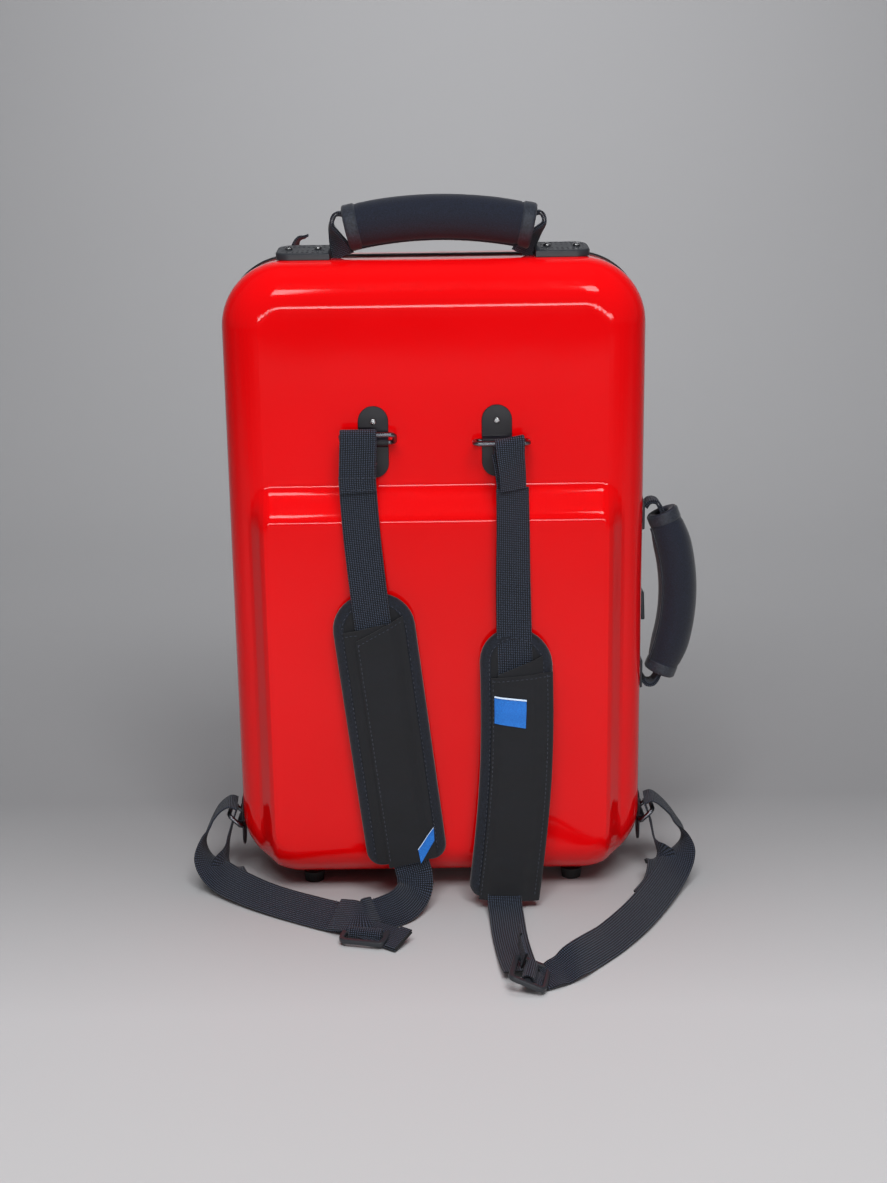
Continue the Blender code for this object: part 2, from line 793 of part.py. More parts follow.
place(
    strap(
        "strap_lower_right",
        (
            ((0.0545, -0.1352, 0.0105), ACROSS),
            ((0.0560, -0.1550, 0.0045), ACROSS),
            ((0.0570, -0.1850, 0.0030), ACROSS),
            ((0.0590, -0.2150, 0.0030), ACROSS),
            ((0.0620, -0.2440, 0.0050), (0.9, 0.3, 0)),
        ),
    ),
    WEBBING_NYLON,
)
place(
    strap(
        "strap_return_right",
        (
            ((0.0880, -0.2600, 0.0090), (-0.35, 0.8, 0.45)),
            ((0.1130, -0.2440, 0.0090), (-0.1, 0.8, 0.50)),
            ((0.1400, -0.2120, 0.0100), (-0.4, 0.75, 0.50)),
            ((0.1660, -0.1720, 0.0110), (-0.6, 0.60, 0.50)),
            ((0.1880, -0.1300, 0.0120), (-0.6, 0.60, 0.50)),
            ((0.2060, -0.0930, 0.0150), (-0.5, 0.70, 0.50)),
            ((0.2170, -0.0700, 0.0250), (-0.2, 0.90, 0.30)),
            ((0.2200, -0.0560, 0.0380), (0, 1, 0.2)),
            ((0.2130, -0.0460, 0.0510), (0, 1, 0)),
            ((0.2030, -0.0420, 0.0585), (0, 1, 0)),
        ),
    ),
    WEBBING_NYLON,
)


def slider(name, middle, heading, pitch, thick=0.0042, off=(0, 0)):
    """A moulded strap adjuster: a frame with two slots either side of a centre bar."""
    wide, long = 0.041, 0.032
    frame_block = cube_mesh((-wide / 2, -long / 2, -thick / 2), (wide / 2, long / 2, thick / 2))
    corners = [e for e in frame_block.edges if abs(e.verts[0].co.z - e.verts[1].co.z) > 1e-4]
    bmesh.ops.bevel(
        frame_block, geom=corners, offset=0.0055, segments=3, profile=0.5, affect="EDGES"
    )
    obj = mesh_object(name, frame_block)
    matrix = (
        Matrix.Translation(middle)
        @ Matrix.Rotation(heading, 4, "Z")
        @ Matrix.Rotation(pitch, 4, "X")
    )
    obj.matrix_local = matrix
    for low, high in ((-0.0115, -0.0030), (0.0030, 0.0115)):
        slot = box(f"{name}_slot_{'a' if low < 0 else 'b'}", (-0.0158, low, -0.01), (0.0158, high, 0.01))
        slot.matrix_local = matrix
        boolean(obj, "DIFFERENCE", as_cutter(slot))
    place(obj, BLACK_PLASTIC)
    return obj


slider("slider_left", (-0.0640, -0.1905, 0.0075), math.radians(-14), math.radians(20))
slider("slider_right", (0.0710, -0.2745, 0.0100), math.radians(28), math.radians(24))

# Hinges: a leaf on each shell, with the knuckles that turn on a pin inside them
for z, word in zip(HINGE_Z, ("lower", "upper")):
    third = HINGE_LENGTH / 3
    for body, sign, spans in (("case", -1, (-third, third)), ("lid", 1, (0.0,))):
        name = f"hinge_leaf_{body}_{word}"
        near, far = sorted((sign * (RIM_FAR + 0.0004), sign * 0.0280))
        leaf = box(
            name,
            (-WIDTH / 2 - GAP - 0.0015, near, z - HINGE_LENGTH / 2),
            (-WIDTH / 2 - GAP, far, z + HINGE_LENGTH / 2),
        )
        for i, middle in enumerate(spans):
            low, high = sorted((sign * 0.0006, sign * 0.0120))
            half = third / 2 - 0.00025
            lug = box(
                f"{name}_lug_{i}",
                (-WIDTH / 2 - 0.0031, low, z + middle - half + 0.0003),
                (-WIDTH / 2 - 0.0016, high, z + middle + half - 0.0003),
            )
            barrel = cylinder(
                f"{name}_knuckle_{i}", (HINGE_X, 0, z + middle), KNUCKLE_R, 2 * half, "Z", 20
            )
            for piece in (lug, barrel):
                boolean(leaf, "UNION", as_cutter(piece))
        place(leaf, BLACK_STEEL, body)
        if body == "lid":
            leaf.location = (0, 0, 0)
            leaf.data.transform(Matrix.Translation((-HINGE_X, 0, 0)))

# Latch: a base plate and a lever on the strap-side shell, a keeper on the lid
place(
    box(
        "latch_base",
        (wall, -0.0360, LATCH_Z - 0.027),
        (wall + 0.0016, -0.0082, LATCH_Z + 0.027),
        0.0005,
        1,
    ),
    BRIGHT_STEEL,
)
place(
    box(
        "latch_keeper",
        (wall, 0.0082, LEVER_Z - 0.010),
        (wall + 0.0026, 0.0200, LEVER_Z + 0.010),
        0.0006,
        1,
    ),
    BRIGHT_STEEL,
    "lid",
)
empties["latch"] = pivot("latch_pivot", (*LEVER_AXIS, LEVER_Z))
place(
    box(
        "latch_lever",
        (wall + 0.0030, LEVER_AXIS[1] - 0.0018, LEVER_Z - 0.0130),
        (wall + 0.0068, 0.0185, LEVER_Z + 0.0130),
        0.0014,
    ),
    BLACK_PLASTIC,
    "latch",
)

# A short webbing tab that stands on the lid's top edge
place(
    ribbon(
        "lid_tab",
        smooth_route(
            (
                (-0.1225, 0.0300, TOP + 0.0022),
                (-0.1215, 0.0310, TOP + 0.0080),
                (-0.1180, 0.0330, TOP + 0.0132),
                (-0.1120, 0.0350, TOP + 0.0156),
            )
        ),
        [(0.2, 1, 0)] * 10,
        [0.020] * 10,
        0.0022,
    ),
    WEBBING_NYLON,
    "lid",
)
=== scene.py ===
"""Looks for the hard-shell instrument case: gelcoat shells, webbing straps, padded grips, studio.

Shapes are drawn in the case's own frame: x = 0 on its middle line, y = 0 where lid and case
meet, z = 0 on the floor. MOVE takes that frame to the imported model's. Lengths are in metres.
"""

import math

import bmesh
import bpy
from mathutils import Matrix, Vector


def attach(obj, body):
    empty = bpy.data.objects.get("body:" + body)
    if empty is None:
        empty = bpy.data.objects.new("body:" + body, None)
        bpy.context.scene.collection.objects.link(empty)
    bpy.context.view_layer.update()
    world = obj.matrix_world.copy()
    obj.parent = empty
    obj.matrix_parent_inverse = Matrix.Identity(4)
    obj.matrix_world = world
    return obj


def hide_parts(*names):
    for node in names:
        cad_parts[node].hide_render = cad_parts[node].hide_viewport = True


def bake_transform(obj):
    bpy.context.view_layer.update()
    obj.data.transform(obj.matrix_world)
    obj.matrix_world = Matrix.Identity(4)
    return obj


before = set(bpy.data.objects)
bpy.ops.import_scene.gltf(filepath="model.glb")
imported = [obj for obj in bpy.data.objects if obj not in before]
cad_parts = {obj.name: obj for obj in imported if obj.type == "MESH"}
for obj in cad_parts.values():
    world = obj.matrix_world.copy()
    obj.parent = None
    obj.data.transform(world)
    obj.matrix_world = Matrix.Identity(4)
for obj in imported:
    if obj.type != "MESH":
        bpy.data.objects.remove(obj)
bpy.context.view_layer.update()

MOVE = Vector((-0.0183, 0.0152, 0.0))
HALF, BOTTOM, TOP = 0.180, 0.010, 0.557
REAR, LID = 0.088, 0.085
CORNER_R, EDGE_R, WALL = 0.055, 0.038, 0.003
PANEL_OUT = 0.016
HANDLE_Y = -0.030
WEB, WEB_THICK = 0.030, 0.0017
OFF_FLOOR = 0.0004
ANCHOR_X, ANCHOR_Z = 0.052, 0.408
SIDE_RING_Y, SIDE_RING_Z = -0.040, 0.050
END_PLATE_X = 0.110
CASE = "case"
scene = bpy.context.scene


# ---- camera
PITCH, YAW, ROLL = math.radians(14.54), math.radians(0.03), math.radians(-0.794)
FOCAL_LENGTH, FRAME_HEIGHT, SENSOR = 1715, 1183, 36
EYE = Vector((0.006, -1.5185, 0.648))


def make_camera():
    camera = bpy.data.cameras.new("camera")
    camera.sensor_fit = "VERTICAL"
    camera.sensor_height = SENSOR
    camera.lens = SENSOR * FOCAL_LENGTH / FRAME_HEIGHT
    obj = bpy.data.objects.new("camera", camera)
    scene.collection.objects.link(obj)
    ahead = Vector(
        (-math.sin(YAW) * math.cos(PITCH), math.cos(YAW) * math.cos(PITCH), -math.sin(PITCH))
    )
    right = Vector((math.cos(YAW), math.sin(YAW), 0))
    up = right.cross(ahead)
    right, up = (
        math.cos(ROLL) * right + math.sin(ROLL) * up, math.cos(ROLL) * up - math.sin(ROLL) * right,
    )
    turn = Matrix((right, up, -ahead)).transposed().to_4x4()
    obj.matrix_world = Matrix.Translation(EYE + MOVE) @ turn
    scene.camera = obj


make_camera()


# ---- materials
def colour(text):
    """The linear colour of an sRGB hex value."""
    values = [int(text[i : i + 2], 16) / 255 for i in (0, 2, 4)]
    return [v / 12.92 if v <= 0.04045 else ((v + 0.055) / 1.055) ** 2.4 for v in values] + [1]


def node(tree, kind, inputs=None, **settings):
    """Adds a node, with its settings, and each input set to a value or joined to a socket."""
    made = tree.nodes.new(kind)
    for key, value in settings.items():
        setattr(made, key, value)
    for socket, value in (inputs or {}).items():
        if isinstance(value, bpy.types.NodeSocket):
            tree.links.new(value, made.inputs[socket])
        else:
            made.inputs[socket].default_value = value
    return made


def maths(tree, operation, a, b=0.0):
    return node(tree, "ShaderNodeMath", {0: a, 1: b}, operation=operation).outputs[0]


def ramp(tree, value, stops):
    made = node(tree, "ShaderNodeValToRGB", {"Fac": value})
    made.color_ramp.elements[0].position = stops[0][0]
    made.color_ramp.elements[0].color = colour(stops[0][1])
    made.color_ramp.elements[1].position = stops[-1][0]
    made.color_ramp.elements[1].color = colour(stops[-1][1])
    for position, text in stops[1:-1]:
        made.color_ramp.elements.new(position).color = colour(text)
    return made.outputs["Color"]


def noise(tree, scale, detail=3.0, roughness=0.55):
    place = node(tree, "ShaderNodeTexCoord").outputs["Object"]
    inputs = {"Scale": scale, "Detail": detail, "Roughness": roughness, "Vector": place}
    return node(tree, "ShaderNodeTexNoise", inputs).outputs["Fac"]


def span(tree, value, low, high):
    """Takes a 0 to 1 value to a range."""
    return node(
        tree, "ShaderNodeMapRange", {"Value": value, "To Min": low, "To Max": high}
    ).outputs["Result"]


def bump(tree, shader, height, distance, strength=1.0):
    made = node(
        tree, "ShaderNodeBump", {"Height": height, "Distance": distance, "Strength": strength}
    )
    tree.links.new(made.outputs["Normal"], shader.inputs["Normal"])


def material(name, base, roughness, **values):
    """A named Principled material; returns it with its tree and shader."""
    made = bpy.data.materials.new(name)
    made.use_nodes = True
    tree = made.node_tree
    shader = tree.nodes["Principled BSDF"]
    shader.inputs["Base Color"].default_value = colour(base)
    shader.inputs["Roughness"].default_value = roughness
    for socket, value in values.items():
        shader.inputs[socket.replace("_", " ")].default_value = value
    made.diffuse_color = colour(base)
    return made, tree, shader


def gelcoat():
    """Deep red polished gelcoat: a clear gloss with a faint orange peel and handling haze."""
    made, tree, shader = material("red_gelcoat", "DE0408", 0.05, IOR=1.5, Specular_IOR_Level=0.32)
    tone = noise(tree, 5.0, 2.0)
    tree.links.new(
        ramp(tree, tone, ((0.3, "DA0406"), (0.7, "E4060C"))), shader.inputs["Base Color"]
    )
    haze = noise(tree, 14.0, 6.0, 0.7)
    tree.links.new(span(tree, haze, 0.03, 0.10), shader.inputs["Roughness"])
    bump(tree, shader, noise(tree, 22.0, 2.0), 0.00025, 0.30)
    return made


def inner_gelcoat():
    """The bare inside of a shell: duller, with the glass mat showing through."""
    made, tree, shader = material("glass_fibre_inside", "8C1416", 0.55)
    bump(tree, shader, noise(tree, 260.0, 4.0), 0.0004, 0.6)
    return made


def moulded(name, base, roughness, grain=900.0, depth=0.00008, **values):
    """Injection-moulded plastic or coated metal with a fine spark-eroded grain."""
    made, tree, shader = material(name, base, roughness, **values)
    speck = noise(tree, grain, 2.0)
    bump(tree, shader, speck, depth, 0.6)
    wear = noise(tree, 60.0, 5.0, 0.65)
    tree.links.new(
        span(tree, wear, roughness - 0.08, roughness + 0.10), shader.inputs["Roughness"]
    )
    return made


def metal(name, base, roughness):
    """Plated steel: brushed faintly, a little duller where it has been handled."""
    made, tree, shader = material(name, base, roughness, Metallic=1.0)
    wear = noise(tree, 180.0, 5.0, 0.7)
    tree.links.new(
        span(tree, wear, roughness - 0.06, roughness + 0.12), shader.inputs["Roughness"],
    )
    bump(tree, shader, noise(tree, 700.0, 2.0), 0.00004, 0.5)
    return made


def uv_parts(tree):
    """Millimetres across and along the cloth."""
    uv = node(tree, "ShaderNodeUVMap", uv_map="mm")
    parts = node(tree, "ShaderNodeSeparateXYZ", {"Vector": uv.outputs["UV"]})
    return parts.outputs["X"], parts.outputs["Y"]


def weave_height(tree, pitch_u, pitch_v):
    """Basket weave from a UV map in millimetres: raised yarns in turn across and along."""
    u, v = uv_parts(tree)
    cell_u = maths(tree, "DIVIDE", u, pitch_u)
    cell_v = maths(tree, "DIVIDE", v, pitch_v)
    parity = maths(tree, "ADD", maths(tree, "FLOOR", cell_u), maths(tree, "FLOOR", cell_v))
    turn = maths(tree, "PINGPONG", parity, 1.0)
    over = maths(tree, "ABSOLUTE", maths(tree, "SINE", maths(tree, "MULTIPLY", cell_u, math.pi)))
    under = maths(tree, "ABSOLUTE", maths(tree, "SINE", maths(tree, "MULTIPLY", cell_v, math.pi)))
    along = maths(tree, "MULTIPLY", turn, maths(tree, "POWER", over, 0.6))
    other = maths(tree, "SUBTRACT", 1.0, turn)
    across = maths(tree, "MULTIPLY", other, maths(tree, "POWER", under, 0.6))
    yarns = maths(tree, "ADD", along, across)
    crowns = maths(
        tree, "MULTIPLY", maths(tree, "ADD", over, 0.3), maths(tree, "ADD", under, 0.3),
    )
    return maths(tree, "MULTIPLY", yarns, crowns)


# Yarns, ribs and picks are drawn coarser than real ones, so that they show from afar.
YARN_MM, RIB_MM, PICK_MM = 1.9, 1.3, 0.9


def webbing(name, dark, light):
    """Heavy woven nylon: near-black basket weave, its colour painted from the weave's height:
    painted shade in the crevices and a painted blue-grey highlight on the yarn crowns.
    """
    made, tree, shader = material(name, dark, 0.62, Sheen_Weight=0.08, Sheen_Roughness=0.4)
    height = weave_height(tree, YARN_MM, YARN_MM * 0.8)
    fuzz = maths(tree, "MULTIPLY", noise(tree, 1400.0, 2.0), 0.35)
    # Painted light: the colour follows the weave height. The crevices get the near-black as
    # painted shade and the crowns get the pale blue-grey as a painted highlight; the fuzz is the
    # yarn's own random tone.
    shade = maths(tree, "SUBTRACT", height, fuzz)
    tree.links.new(
        ramp(tree, shade, ((0.15, dark), (0.70, "0F1117"), (0.97, light))),
        shader.inputs["Base Color"],
    )
    bump(tree, shader, height, 0.0005, 0.9)
    return made


def twill():
    """Dense polyester twill, blue-black, with a fine diagonal rib and a soft sheen."""
    made, tree, shader = material("pad_twill", "0B0D14", 0.70, Sheen_Weight=0.2)
    u, v = uv_parts(tree)
    slope, fall = maths(tree, "ADD", u, v), maths(tree, "SUBTRACT", u, v)
    rib = maths(tree, "SINE", maths(tree, "MULTIPLY", slope, 2 * math.pi / RIB_MM))
    pick = maths(tree, "SINE", maths(tree, "MULTIPLY", fall, 2 * math.pi / PICK_MM))
    rib, pick = maths(tree, "MULTIPLY", rib, 0.35), maths(tree, "MULTIPLY", pick, 0.15)
    height = span(tree, maths(tree, "ADD", rib, pick), 0.5, 1.5)
    dust = maths(tree, "MULTIPLY", noise(tree, 40.0, 5.0, 0.7), 0.5)
    mixed = maths(tree, "ADD", maths(tree, "MULTIPLY", height, 0.4), dust)
    tree.links.new(
        ramp(tree, mixed, ((0.35, "04050A"), (0.65, "090C15"), (0.95, "1A2030"))),
        shader.inputs["Base Color"],
    )
    bump(tree, shader, height, 0.0003, 0.7)
    return made


def cloth(name, base, light, scale=700.0, rough=0.85, distance=0.0002, **values):
    """Close fabric seen as a fine speckle: knit neoprene facing, tape or short pile."""
    made, tree, shader = material(name, base, rough, Sheen_Weight=0.2, **values)
    speck = noise(tree, scale, 3.0, 0.6)
    tree.links.new(ramp(tree, speck, ((0.35, base), (0.75, light))), shader.inputs["Base Color"])
    bump(tree, shader, speck, distance, 0.8)
    return made


RED = gelcoat()
INSIDE = inner_gelcoat()
# Extruded PVC: satin black, with a soft line of light along its lips.
TRIM = moulded("rim_edging", "131316", 0.38)
# Grey sponge rubber: no gloss at all.
SEAL = moulded("seal_rubber", "6F7072", 0.70, 500.0)
# Glass-filled nylon: charcoal, with a sparkle-free satin.
PLASTIC = moulded("black_plastic", "2B2E33", 0.42)
# Powder-coated steel: a purplish black, dull but for its pressed edges.
COATED = moulded("black_coated_steel", "131118", 0.44, 1200.0, 0.00004)
# Black-nickel plated wire: dark, with a sharp bright line round each bend.
GUNMETAL = metal("gunmetal_wire", "7C7F86", 0.26)
# Zinc-plated steel: pale, mirrors the lights softly.
BRIGHT = metal("bright_plated_steel", "C9CACC", 0.22)
RUBBER = moulded("foot_rubber", "141415", 0.75, 400.0)
# The near-black also stands in the crevices as painted shade; the pale blue-grey is the painted
# highlight on the yarn crowns.
NYLON = webbing("webbing_nylon", "06070A", "434D60")
TWILL = twill()
# Nylon binding tape: a shade lighter than the twill that it edges.
TAPE = cloth("binding_tape", "080A10", "1F2533", 900.0)
# Knit-faced neoprene: blue-black and soft, with no shine.
NEOPRENE = cloth("neoprene_knit", "070A14", "1B2236", 1100.0, 0.80)
# Short synthetic pile: dark grey with lighter tips.
PLUSH = cloth("plush_lining", "17181C", "34363D", 420.0, 0.95, 0.0008)
# Polyester thread: pale enough for its stitches to be read one by one.
THREAD = cloth("stitching_thread", "1A1D27", "4A5263", 2000.0, 0.7, 0.0001)
# Grosgrain band at the mouths of each grip: slightly smoother than the sleeve.
COLLAR = cloth("collar_binding", "171A22", "2E3440", 600.0, 0.55, 0.0001)
# Woven polyester labels: plain blue, with a pale edge.
LABEL = cloth("woven_label", "0B5CB8", "1E86E4", 1500.0, 0.6, 0.0001)
LABEL_EDGE = cloth("label_edge", "BFD7F2", "E4EEF9", 1500.0, 0.6, 0.0001)


# ---- building
def linked(obj, surface, body, replaces=()):
    """Puts a finished piece, drawn in the case's frame, into the model."""
    for each in surface if isinstance(surface, (list, tuple)) else [surface]:
        obj.data.materials.append(each)
    obj.data.transform(Matrix.Translation(MOVE))
    scene.collection.objects.link(obj)
    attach(obj, body)
    if replaces:
        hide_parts(*replaces)
    return obj


def from_bmesh(name, bm, angle=40):
    bmesh.ops.recalc_face_normals(bm, faces=bm.faces)
    mesh = bpy.data.meshes.new(name)
    bm.to_mesh(mesh)
    bm.free()
    mesh.shade_smooth()
    mesh.set_sharp_from_angle(angle=math.radians(angle))
    return bpy.data.objects.new(name, mesh)


def blended(name, bm, surface, replaces):
    """Webbing put into the scene on its own, tied to no body, in place of the parts that it
    replaces.
    """
    obj = from_bmesh(name, bm)
    obj.data.materials.append(surface)
    obj.data.transform(Matrix.Translation(MOVE))
    scene.collection.objects.link(obj)
    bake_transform(obj)
    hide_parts(*replaces)


def modifier(obj, kind, **settings):
    made = obj.modifiers.new(kind.lower(), kind)
    for key, value in settings.items():
        setattr(made, key, value)
    return made


def baked(obj, angle=40):
    """The object with its modifiers applied; the one that it is made from is removed."""
    temporary = obj.name not in scene.collection.objects
    if temporary:
        scene.collection.objects.link(obj)
    bpy.context.view_layer.update()
    graph = bpy.context.evaluated_depsgraph_get()
    mesh = bpy.data.meshes.new_from_object(obj.evaluated_get(graph))
    name = obj.name
    bpy.data.objects.remove(obj, do_unlink=True)
    mesh.name = name
    mesh.shade_smooth()
    mesh.set_sharp_from_angle(angle=math.radians(angle))
    return bpy.data.objects.new(name, mesh)


def cut_out(obj, cutters, rounding=0.0):
    """The piece less its cutters, with its edges eased."""
    for cutter in cutters:
        scene.collection.objects.link(cutter)
        modifier(obj, "BOOLEAN", operation="DIFFERENCE", object=cutter, solver="EXACT")
    if rounding:
        modifier(obj, "BEVEL", width=rounding, segments=3, limit_method="ANGLE", angle_limit=0.8)
    obj = baked(obj)
    for cutter in cutters:
        bpy.data.objects.remove(cutter, do_unlink=True)
    return obj


def smoothed(points, steps=8):
    """Points along a Catmull-Rom curve through the given ones."""
    route = [Vector(p) for p in points]
    ends = [2 * route[0] - route[1], *route, 2 * route[-1] - route[-2]]
    found = []
    for a, b, c, d in zip(ends, ends[1:], ends[2:], ends[3:]):
        for i in range(steps):
            t = i / steps
            found.append(
                0.5
                * (
                    2 * b
                    + (c - a) * t
                    + (2 * a - 5 * b + 4 * c - d) * t**2
                    + (3 * b - a - 3 * c + d) * t**3
                )
            )
    found.append(route[-1])
    return found


def smoothstep(value, low, high):
    t = min(1.0, max(0.0, (value - low) / (high - low)))
    return t * t * (3 - 2 * t)


def block(low, high):
    bm = bmesh.new()
    bmesh.ops.create_cube(bm, size=1.0)
    size, middle = Vector(high) - Vector(low), (Vector(high) + Vector(low)) / 2
    bmesh.ops.transform(
        bm, verts=bm.verts, matrix=Matrix.Translation(middle) @ Matrix.Diagonal((*size, 1))
    )
    return bm


def bevelled(bm, chosen, offset, segments):
    edges = [e for e in bm.edges if chosen(e)]
    bmesh.ops.bevel(bm, geom=edges, offset=offset, segments=segments, profile=0.5, affect="EDGES")
    return bm


def runs(axis):
    """Whether an edge runs along that axis."""
    return lambda e: abs((e.verts[0].co - e.verts[1].co)[axis]) > 0.9 * e.calc_length() > 0


def sweep(bm, points, sides, section, scales=None, closed=False, caps=True):
    """A section of (across, through) points carried along a route, with a UV map in mm."""
    uv = bm.loops.layers.uv.get("mm") or bm.loops.layers.uv.new("mm")
    rows, lengths, travelled = [], [], 0.0
    count = len(points)
    for i, point in enumerate(points):
        after = points[(i + 1) % count if closed else min(i + 1, count - 1)]
        before = points[(i - 1) % count if closed else max(i - 1, 0)]
        ahead = (after - before).normalized()
        side = (sides[i] - sides[i].project(ahead)).normalized()
        through = side.cross(ahead)
        wide, thick = scales[i] if scales else (1, 1)
        rows.append(
            [bm.verts.new(point + side * a * wide + through * b * thick) for a, b in section]
        )
        if i:
            travelled += (point - points[i - 1]).length
        lengths.append(travelled)
    pairs = list(zip(range(count), range(1, count)))
    if closed:
        pairs.append((count - 1, 0))
    around = [0.0]
    for a, b in zip(section, [*section[1:], section[0]]):
        around.append(around[-1] + math.hypot(a[0] - b[0], a[1] - b[1]))
    for i, j in pairs:
        for k in range(len(section)):
            m = (k + 1) % len(section)
            face = bm.faces.new((rows[i][k], rows[i][m], rows[j][m], rows[j][k]))
            spots = ((k, i), (k + 1, i), (k + 1, j if j else count), (k, j if j else count))
            for loop, (across, along) in zip(face.loops, spots):
                reach = lengths[along] if along < count else travelled
                loop[uv].uv = (around[across] * 1000, reach * 1000)
    if caps and not closed:
        for row in (rows[0][::-1], rows[-1]):
            bm.faces.new(row)
    return bm


def flat_section(width, thick):
    """A webbing section: flat, with rounded selvedges."""
    half, edge = width / 2, thick / 2
    xs = [-half + edge + (width - 2 * edge) * i / 6 for i in range(7)]
    upper, lower = [(x, edge) for x in xs], [(x, -edge) for x in xs[::-1]]
    return [(-half, 0.0), *upper, (half, 0.0), *lower]


def round_section(rx, ry, count=20):
    return [
        (rx * math.cos(2 * math.pi * i / count), ry * math.sin(2 * math.pi * i / count))
        for i in range(count)
    ]


def on_floor(points, sides, width, thick):
    """Raises each point just enough for the band's lower edge to rest on the floor."""
    for i, point in enumerate(points):
        ahead = (points[min(i + 1, len(points) - 1)] - points[max(i - 1, 0)]).normalized()
        side = (sides[i] - sides[i].project(ahead)).normalized()
        reach = abs(side.z) * width / 2 + abs(side.cross(ahead).z) * thick / 2
        point.z = max(point.z, reach + OFF_FLOOR)


def webbing_band(bm, stations, width=WEB, thick=WEB_THICK, layers=1, steps=8):
    """Flat webbing through stations of (point, direction across). Returns its middle line."""
    points = smoothed([s[0] for s in stations], steps)
    sides = smoothed([s[1] for s in stations], steps)
    on_floor(points, sides, width, thick * layers)
    for layer in range(layers):
        lift = (layer - (layers - 1) / 2) * (thick + 0.0002)
        section = [(a, b + lift) for a, b in flat_section(width, thick)]
        sweep(bm, points, sides, section)
    for v in bm.verts:
        v.co.z = max(v.co.z, OFF_FLOOR)
    return points


def dashes(name, points, body, length=0.0030, gap=0.0016, radius=0.00045):
    """A line of stitches: short rounded runs of thread along a route on a surface."""
    bm = bmesh.new()
    travelled, position, drawn = 0.0, 0.0, []
    for a, b in zip(points, points[1:]):
        run = (b - a).length
        if run < 1e-7:
            continue
        direction = (b - a) / run
        while position < travelled + run:
            start = a + direction * (position - travelled)
            drawn.append((start, direction))
            position += length + gap
        travelled += run
    for start, direction in drawn:
        bead = bmesh.ops.create_uvsphere(bm, u_segments=6, v_segments=4, radius=radius)["verts"]
        turn = direction.to_track_quat("Z", "Y").to_matrix().to_4x4()
        stretch = Matrix.Diagonal((1, 1, length / 2 / radius, 1))
        middle = Matrix.Translation(start + direction * length / 2)
        bmesh.ops.transform(bm, verts=bead, matrix=middle @ turn @ stretch)
    return linked(from_bmesh(name, bm, 80), THREAD, body)


# ---- straps
X = Vector((1, 0, 0))
LEFT_ROUTE = [
    ((-0.0656, -0.1082, 0.3830), X), ((-0.0645, -0.1092, 0.3600), X),
    ((-0.0625, -0.1115, 0.3300), X), ((-0.0596, -0.1150, 0.3000), X),
    ((-0.0565, -0.1175, 0.2700), X), ((-0.0530, -0.1182, 0.2400), X),
    ((-0.0450, -0.1186, 0.1700), X), ((-0.0320, -0.1190, 0.0700), X),
    ((-0.0262, -0.1200, 0.0400), X), ((-0.0232, -0.1245, 0.0285), (0.95, -0.1, -0.25)),
    ((-0.0242, -0.1330, 0.0185), (0.75, -0.3, -0.60)),
    ((-0.0330, -0.1480, 0.0130), (0.40, -0.6, -0.70)),
    ((-0.0480, -0.1590, 0.0105), (0.12, -0.75, -0.60)),
    ((-0.0640, -0.1660, 0.0100), (-0.02, -0.85, -0.50)),
    ((-0.0850, -0.1660, 0.0095), (-0.15, -0.85, -0.45)),
    ((-0.1210, -0.1450, 0.0090), (-0.40, -0.75, -0.45)),
    ((-0.1520, -0.1240, 0.0092), (-0.50, -0.75, -0.45)),
    ((-0.1760, -0.1060, 0.0110), (-0.50, -0.75, -0.50)),
    ((-0.1970, -0.0880, 0.0145), (-0.30, -0.80, -0.50)),
    ((-0.2110, -0.0740, 0.0240), (-0.10, -0.90, -0.30)),
    ((-0.2150, -0.0600, 0.0370), (0, -1, -0.2)), ((-0.2110, -0.0480, 0.0500), (0, -1, 0)),
    ((-0.2030, -0.0420, 0.0620), (0, -1, 0)), ((-0.1940, -0.0405, 0.0680), (0, -1, 0)),
    ((-0.1868, -0.0400, 0.0660), (0, -1, 0)),
]
RIGHT_ROUTE = [
    ((0.0642, -0.1090, 0.3712), (1, 0.40, 0)), ((0.0645, -0.1118, 0.3350), (1, 0.35, 0)),
    ((0.0643, -0.1135, 0.2950), (1, 0.20, 0)), ((0.0648, -0.1150, 0.2500), X),
    ((0.0655, -0.1180, 0.2150), X), ((0.0660, -0.1225, 0.1300), X),
    ((0.0575, -0.1290, 0.0350), X), ((0.0550, -0.1330, 0.0170), X),
    ((0.0550, -0.1410, 0.0085), X), ((0.0560, -0.1560, 0.0045), X),
    ((0.0570, -0.1850, 0.0028), X), ((0.0590, -0.2150, 0.0028), (1, 0.10, 0)),
    ((0.0615, -0.2440, 0.0050), (1, 0.15, 0)), ((0.0640, -0.2640, 0.0070), (1, 0.20, 0)),
]
RIGHT_RETURN = [
    ((0.0690, -0.2735, 0.0100), (0.17, 0.98, 0)), ((0.0800, -0.2715, 0.0040), (0.12, 0.97, 0.05)),
    ((0.0930, -0.2640, 0.0060), (0, 0.90, 0.30)),
    ((0.1130, -0.2480, 0.0085), (-0.10, 0.80, 0.50)),
    ((0.1400, -0.2130, 0.0095), (-0.40, 0.75, 0.50)),
    ((0.1660, -0.1730, 0.0105), (-0.60, 0.60, 0.50)),
    ((0.1880, -0.1310, 0.0115), (-0.60, 0.60, 0.50)),
    ((0.2060, -0.0930, 0.0150), (-0.50, 0.70, 0.50)),
    ((0.2170, -0.0700, 0.0250), (-0.20, 0.90, 0.30)), ((0.2200, -0.0560, 0.0380), (0, 1, 0.2)),
    ((0.2130, -0.0460, 0.0510), (0, 1, 0)), ((0.2030, -0.0420, 0.0620), (0, 1, 0)),
    ((0.1940, -0.0405, 0.0680), (0, 1, 0)), ((0.1868, -0.0400, 0.0660), (0, 1, 0)),
]


def strap(name, routes, width, replaces):
    """A shoulder strap's whole webbing, out of the ring, through its pad and to the side."""
    bm = bmesh.new()
    line = []
    for stations in routes:
        line += webbing_band(bm, stations, width)
    obj = linked(from_bmesh(name, bm), NYLON, CASE, replaces)
    return obj, [p + MOVE for p in line]


